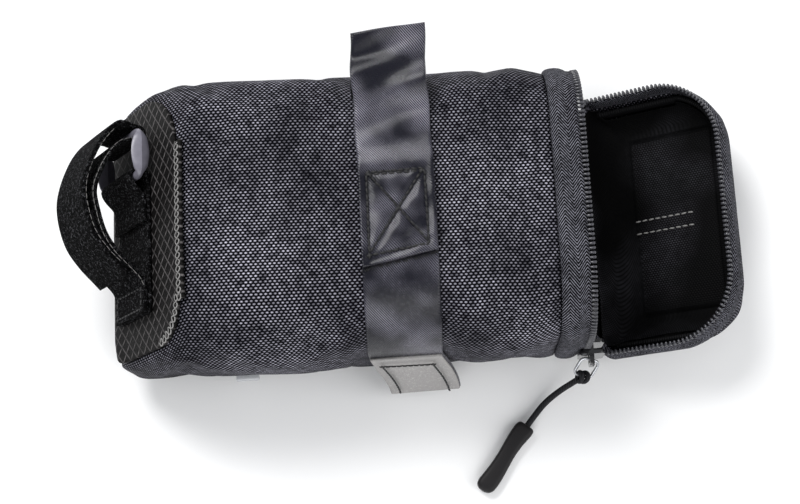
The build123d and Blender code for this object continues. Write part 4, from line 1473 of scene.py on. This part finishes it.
class BAG_OT_seatpost_strap(bpy.types.Operator):
    """Seatpost strap through its ring and back, the ring and the tab that holds it"""

    bl_idname = "saddle_bag.seatpost_strap"
    bl_label = "Seatpost Strap"

    ring_middle_y = 23.5

    def execute(self, context):
        sizes = context.scene.bag_sizes
        width = 25.0 * MM
        pile = webbing_profile(width, sizes.pile_thickness, 16)
        main = smooth_route(on_plate([
            (-31, 4.1), (-24, 4.1), (-19.8, 5.0), (-15.5, 9.2), (-10.5, 14.6), (-4.5, 18.6), (3, 20.9),
            (9.5, 21.8), (15.5, 20.0), (21.0, 17.2), (26.4, 12.9), (28.1, 9.0), (28.7, 4.7), (30.9, 3.6),
            (33.1, 4.7), (33.65, 8.0),
        ]), 1.0 * MM)
        waves = wavy(0.5 * MM, 41, 60, 0.3, (0.0, 0.1))
        strap = sweep("post_strap", main, UP_SLOPE, pile, FINISHES["pile"], waves)
        done(strap, "body", "pile_webbing", "seatpost_strap")
        back = smooth_route(on_plate([
            (33.65, 8.0), (33.8, 10.2), (33.9, 12.6), (30.6, 16.6), (24.6, 20.8), (16.8, 24.3), (9.5, 25.7),
            (1.5, 24.6), (-5.7, 21.9), (-11.6, 17.2), (-16, 12.4), (-18.3, 9.9),
        ]), 1.0 * MM)
        tail = sweep("post_strap_tail", back, UP_SLOPE, pile, FINISHES["pile"], wavy(0.6 * MM, 43, 55, 0.35))
        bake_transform(tail)
        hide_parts("seatpost_strap_tail")
        inside = [(-16.4, 10.1), (-15.0, 11.5), (-10.65, 16.3), (-4.8, 20.8), (1.8, 22.95)]
        hook = smooth_route(on_plate(inside), 1.0 * MM)
        pad_profile = webbing_profile(width - 1.0 * MM, PAD_THICKNESS)
        patch = sweep("tail_hook_pad", hook, UP_SLOPE, pad_profile, FINISHES["hook"])
        done(patch, "post_tail", "hook_tape", "tail_hook_patch")
        tab_route = smooth_route(on_plate([
            (-31, 2.5), (-10, 2.5), (6, 2.5), (13, 2.5), (16.9, 3.0), (18.7, 6.2), (16.2, 9.2), (13.2, 8.1),
            (9.6, 4.7), (6.6, 4.05), (0.4, 4.0),
        ]), 1.0 * MM)
        tab_profile = webbing_profile(width, 1.3 * MM, 16)
        tab = sweep("ring_tab_webbing", tab_route, UP_SLOPE, tab_profile, FINISHES["pile"])
        done(tab, "body", "pile_webbing", "ring_tab")
        self.ring()
        self.edge_threads(main, back)
        box = ((-29.5, -10), (-29.5, 10), (-22.5, 10), (-22.5, -10))
        corners = [on_plate([(y, 4.95)], s * MM)[0] for y, s in box]
        line = [resampled(loop_of(corners), 0.8 * MM)]
        pitch = sizes.stitch_pitch
        stitch = stitch_unit(pitch * 0.85, 0.6 * MM)
        rows = row("post_strap_stitches", line, [tuple(OFF_PLATE)], stitch, pitch, FINISHES["thread"], 0.1, 9)
        done(rows, "body", "pile_webbing")
        return {"FINISHED"}

    def edge_threads(self, main, back):
        """Fine pale yarns along the strap's upper edges."""
        edges = (("post_strap_edge", main, "body", 10), ("post_tail_edge", back, "post_tail", 9))
        for name, line, body, first in edges:
            span = line[first:-6] + np.array(UP_SLOPE) * 12.2 * MM
            ahead = unit(np.gradient(span, axis=0))
            off = unit(np.cross(np.broadcast_to(np.array(UP_SLOPE), span.shape), ahead))
            yarn = stitch_unit(2.0 * MM, 0.22 * MM)
            lines = [span + off * 0.75 * MM]
            rows = row(name, lines, [off], yarn, 2.3 * MM, FINISHES["pale_thread"], 0.12, 19)
            done(rows, body, "pile_webbing")

    def ring(self):
        """Moulded ring, its end bars widened to pointed ovals with a ridge along them."""
        half_y, half_s, corner = 7.4 * MM, 14.9 * MM, 3.0 * MM
        middle = PLATE_ORIGIN + Y_AXIS * self.ring_middle_y * MM + OFF_PLATE * 6.6 * MM
        flat = []
        for cy, cs, start in ((1, 1, 0), (-1, 1, 90), (-1, -1, 180), (1, -1, 270)):
            centre = (cy * (half_y - corner), cs * (half_s - corner))
            angles = np.radians(np.linspace(start, start + 90, 8))
            flat += [(centre[0] + corner * math.cos(a), centre[1] + corner * math.sin(a)) for a in angles]
        loop = resampled(loop_of([middle + Y_AXIS * y + UP_SLOPE * s for y, s in flat]), 0.6 * MM)[:-1]
        across = np.array([tuple(OFF_PLATE)] * len(loop))
        spots = [((Vector(p) - middle).dot(Y_AXIS), (Vector(p) - middle).dot(UP_SLOPE)) for p in loop]
        along_of = lengths_along(loop)

        def oval(along, _, section):
            y, s = spots[int(np.argmin(np.abs(along_of - along)))]
            middle_of_bar = max(0.0, 1 - (y / (half_y + 0.6 * MM)) ** 2)
            wide = fade(abs(s), half_s - 1.2 * MM, half_s - 0.1 * MM) * middle_of_bar
            section[:, 0] *= 1 + 1.35 * wide
            ridge = 1 - np.abs(section[:, 0]) / np.abs(section[:, 0]).max()
            raised = np.sign(section[:, 1]) * ridge * 0.95 * MM * wide
            section[:, 1] = section[:, 1] * (1 - 0.75 * wide) + raised
            return section

        profile = round_profile(1.4 * MM, 16, 1.1)
        piece = sweep("post_ring", loop, across, profile, FINISHES["ring"], oval, closed=True)
        piece.data.set_sharp_from_angle(angle=math.radians(24))
        done(piece, "body", "ring_plastic", "strap_ring")


class BAG_OT_light_loop(bpy.types.Operator):
    """Light loop across the back of the flap, with its stitches inside and out, and the side tab"""

    bl_idname = "saddle_bag.light_loop"
    bl_label = "Light Loop"

    def execute(self, context):
        sizes = context.scene.bag_sizes
        flat, raised = FLAP_END_X / MM + 0.9, FLAP_END_X / MM + 1.9
        side = [(3.5, flat), (8, raised), (17.5, raised), (22, flat), (30, flat)]
        route = [(-y, x) for y, x in side[::-1]] + [(0, flat)] + side
        middle_z = 38.5 * MM
        path = smooth_route([(x * MM, y * MM, middle_z) for y, x in route], 1.0 * MM)
        loop_profile = webbing_profile(20.0 * MM, 1.2 * MM)
        loop = sweep("light_loop_webbing", path, (0, 0, 1), loop_profile, FINISHES["plain"])
        done(swung(loop), "flap", "plain_webbing", "light_loop")

        def upright(x, ys, half):
            """Upright lines for stitches, at places across the flap given in millimetres."""
            low, high = middle_z - half, middle_z + half
            return [resampled([(x, y * MM, low), (x, y * MM, high)], 1.0 * MM) for y in ys]

        lines = upright(FLAP_END_X - sizes.padding - 0.95 * MM, (-2.3, 2.3), 10 * MM)
        stitches = row("light_loop_inner_stitches", lines, [(-1, 0, 0)] * len(lines),
                       stitch_unit(2.0 * MM, 0.6 * MM), 2.4 * MM, FINISHES["pale_thread"], 0.1, 13)
        done(swung(stitches), "flap", "lining_fabric")
        lines = upright((flat + 0.65) * MM, (-29, -24, -1.8, 1.8, 24, 29), 8.5 * MM)
        stitches = row("light_loop_stitches", lines, [(1, 0, 0)] * len(lines),
                       stitch_unit(2.0 * MM, 0.45 * MM), 2.4 * MM, FINISHES["thread"], 0.1, 14)
        done(swung(stitches), "flap", "plain_webbing")
        self.side_tab()
        return {"FINISHED"}

    def side_tab(self):
        """Small reflective tab, folded double in the base seam."""
        low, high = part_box("side_tab")
        middle = (low + high) / 2
        wall, tip, rise = high.y + 0.4 * MM, low.y + 0.3 * MM, (high.z - low.z) / 2 - 0.25 * MM
        turn = tip + 0.5 * MM
        outline = ((wall, rise), (turn, rise), (tip, 0.0), (turn, -rise), (wall, -rise))
        fold = smooth_route([(middle.x, y, middle.z + z) for y, z in outline], 0.25 * MM)
        profile = webbing_profile(high.x - low.x, 0.45 * MM, 6)
        tab = sweep("side_tab_fold", fold, X_AXIS, profile, FINISHES["reflective"])
        done(tab, "body", "reflective_tape", "side_tab")


# Slider, ring, cord and grip

CORD_DIAMETER = 2.2 * MM
CORD_ROUTE = [
    (0.0602, -0.0552, 0.0160),
    (0.0572, -0.0562, 0.0110),
    (0.0532, -0.0579, 0.0058),
    (0.0487, -0.0609, 0.0031),
    (0.0443, -0.0656, 0.0029),
    (0.0392, -0.0720, 0.0029),
]
# Share of the grip's length, of its width and of its thickness
GRIP_SHAPE = [
    (0.0, 0.62, 0.6), (0.012, 0.86, 0.86), (0.04, 0.98, 0.98), (0.09, 1.0, 1.0), (0.2, 0.93, 0.98),
    (0.32, 0.85, 0.95), (0.45, 0.81, 0.93), (0.6, 0.85, 0.94), (0.75, 0.94, 0.97), (0.88, 1.0, 0.99),
    (0.94, 0.93, 0.95), (0.975, 0.74, 0.84), (0.993, 0.48, 0.6), (1.0, 0.2, 0.3),
]


class BAG_OT_pull(bpy.types.Operator):
    """Zip slider, its ring, the pull cord with its hitch, and the moulded grip"""

    bl_idname = "saddle_bag.pull"
    bl_label = "Slider and Pull"

    def execute(self, context):
        for node, finish, edge in (("zip_slider", "enamel", 0.3 * MM), ("pull_ring", "steel", 0.0)):
            paint(node, finish)
            piece = frame["nodes"][node]
            weld = piece.modifiers.new("Join", "WELD")
            weld.merge_threshold = 0.002 * MM
            if edge:
                bevel = piece.modifiers.new("Edges", "BEVEL")
                bevel.width = edge
                bevel.segments = 3
                bevel.limit_method = "ANGLE"
        grip = self.grip()
        self.cord(grip)
        self.hitch()
        return {"FINISHED"}

    def cord(self, grip):
        """Pull cord, from its hitch at the ring to the grip."""
        curve = bpy.data.curves.new("pull_cord_braid", "CURVE")
        curve.dimensions = "3D"
        line = curve.splines.new("NURBS")
        line.points.add(len(CORD_ROUTE) - 1)
        for point, place in zip(line.points, CORD_ROUTE):
            point.co = (*place, 1.0)
        line.order_u = 3
        line.use_endpoint_u = True
        curve.bevel_depth = CORD_DIAMETER / 2
        curve.bevel_resolution = 5
        curve.resolution_u = 24
        curve.use_fill_caps = True
        curve.materials.append(FINISHES["cord"])
        piece = bpy.data.objects.new("pull_cord_braid", curve)
        bpy.context.scene.collection.objects.link(piece)
        done(piece, "puller", "pull_cord", "pull_cord")

    def hitch(self):
        """Two turns of the cord round the ring's lower bar."""
        start, onward = Vector(CORD_ROUTE[0]), Vector(CORD_ROUTE[1])
        way = (onward - start).normalized()
        tilt = math.radians(26)
        bar = Vector((math.cos(tilt), 0, -math.sin(tilt))).cross(way).cross(way).normalized()
        off = way.cross(bar)
        centre = start - way * 1.2 * MM
        for name, side in (("hitch_turn_near", -1), ("hitch_turn_far", 1)):
            middle = centre + bar * side * 0.95 * MM
            loop = []
            for a in np.linspace(0, 2 * math.pi, 28, endpoint=False):
                lean = bar * side * 0.35 * MM * math.cos(a)
                loop.append(middle + way * math.cos(a) * 1.9 * MM + off * math.sin(a) * 1.55 * MM - lean)
            across = np.array([tuple(bar)] * len(loop))
            turn = sweep(name, loop, across, round_profile(0.85 * MM), FINISHES["cord"], closed=True)
            done(turn, "puller", "pull_cord")

    def grip(self):
        """Moulded grip: square shoulders, a slight waist and a wide rounded end."""
        end, before = Vector(CORD_ROUTE[-1]), Vector(CORD_ROUTE[-2])
        way = (end - before).normalized()
        side = way.cross(Vector((0, 0, 1))).normalized()
        length, width, thickness = 28.0 * MM, 7.0 * MM, 5.0 * MM
        start = end - way * 4.0 * MM
        start.z = thickness / 2
        rows, uvs = [], []
        for share, wide, thick in GRIP_SHAPE:
            bow = math.sin(share * 2 * math.pi) * 0.45 * MM
            middle = start + way * share * length + side * bow
            section = []
            for a in np.linspace(0, 2 * math.pi, 28, endpoint=False):
                c, s = math.cos(a), math.sin(a)
                u = math.copysign(abs(c) ** 0.5, c) * width / 2 * wide
                v = math.copysign(abs(s) ** 0.6, s) * thickness / 2 * thick
                section.append(middle + side * u + Vector((0, 0, 1)) * v)
            rows.append(section)
            uvs.append([(a * width, share * length) for a in np.linspace(0, 3, 29)])
        work, _ = grid(rows, uvs, closed=True, caps=True)
        piece = applied(smoothed(finish_mesh("grip", work, FINISHES["rubber"])))
        return done(piece, "puller", "grip_rubber", "pull_grip")


# Stage

LENS = 77.616
CAMERA_DISTANCE = 0.56


class BAG_OT_stage(bpy.types.Operator):
    """Pale floor, soft studio light and the camera"""

    bl_idname = "saddle_bag.stage"
    bl_label = "Stage"

    def execute(self, context):
        scene = context.scene
        work = bmesh.new()
        bmesh.ops.create_grid(work, x_segments=1, y_segments=1, size=6.0)
        floor_finish = moulded("pale_floor", (0.9, 0.9, 0.9), 0.7, 6.0, 0.0001)
        floor = finish_mesh("floor", work, floor_finish, recalculate=False)
        world = bpy.data.worlds.new("studio")
        world.use_nodes = True
        world.node_tree.nodes["Background"].inputs["Color"].default_value = (0.95, 0.97, 1.0, 1.0)
        world.node_tree.nodes["Background"].inputs["Strength"].default_value = 0.48
        scene.world = world
        lights = (
            ("key", (-0.35, 0.55, 0.85), 0.5, 11.0),
            ("fill", (0.8, -0.35, 0.7), 0.8, 5.0),
            ("front", (-0.2, -0.95, 0.6), 0.8, 5.5),
        )
        for name, place, size, power in lights:
            lamp = bpy.data.lights.new(name, "AREA")
            lamp.size = size
            lamp.energy = power
            holder = bpy.data.objects.new(name, lamp)
            holder.location = place
            holder.rotation_euler = (Vector((0, 0, 0.03)) - Vector(place)).to_track_quat("-Z", "Y").to_euler()
            scene.collection.objects.link(holder)
        self.camera(scene)
        scene.view_settings.view_transform = "Standard"
        return {"FINISHED"}

    def camera(self, scene):
        """Camera high over the near side, slightly rolled."""
        elevation, roll = math.radians(76.0), math.radians(3.0)
        target = Vector((0, -19.1, 66.0)) * MM
        back = Vector((0, -math.cos(elevation), math.sin(elevation)))
        up = back.cross(X_AXIS)
        right = X_AXIS * math.cos(roll) - up * math.sin(roll)
        upward = X_AXIS * math.sin(roll) + up * math.cos(roll)
        data = bpy.data.cameras.new("camera")
        data.sensor_width = 36.0
        data.lens = LENS
        data.clip_start, data.clip_end = 0.01, 20.0
        camera = bpy.data.objects.new("camera", data)
        turn = Matrix((right, upward, back)).transposed().to_4x4()
        camera.matrix_world = Matrix.Translation(target + back * CAMERA_DISTANCE) @ turn
        scene.collection.objects.link(camera)
        scene.camera = camera


OPERATORS = (
    BAG_OT_stage,
    BAG_OT_pull,
    BAG_OT_body_fabric,
    BAG_OT_lining,
    BAG_OT_front_plate,
    BAG_OT_zip,
    BAG_OT_flap,
    BAG_OT_rail_straps,
    BAG_OT_seatpost_strap,
    BAG_OT_light_loop,
)


class BAG_PT_pieces(bpy.types.Panel):
    """Pieces of the saddle bag"""

    bl_idname = "BAG_PT_pieces"
    bl_label = "Saddle Bag"
    bl_space_type = "VIEW_3D"
    bl_region_type = "UI"
    bl_category = "Saddle Bag"

    def draw(self, context):
        for group in (context.scene.bag_sizes, context.scene.bag_colours):
            for name in group.__annotations__:
                self.layout.prop(group, name)
        for operator in OPERATORS:
            self.layout.operator(operator.bl_idname)


CLASSES = (BagSizes, BagColours, *OPERATORS, BAG_PT_pieces)


def register():
    for cls in CLASSES:
        bpy.utils.register_class(cls)
    bpy.types.Scene.bag_sizes = PointerProperty(type=BagSizes)
    bpy.types.Scene.bag_colours = PointerProperty(type=BagColours)


def unregister():
    del bpy.types.Scene.bag_colours
    del bpy.types.Scene.bag_sizes
    for cls in reversed(CLASSES):
        bpy.utils.unregister_class(cls)


def main():
    register()
    make_finishes(bpy.context.scene.bag_colours)
    for operator in OPERATORS:
        group, name = operator.bl_idname.split(".")
        getattr(getattr(bpy.ops, group), name)()
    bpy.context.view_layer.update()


if __name__ == "__main__":
    main()
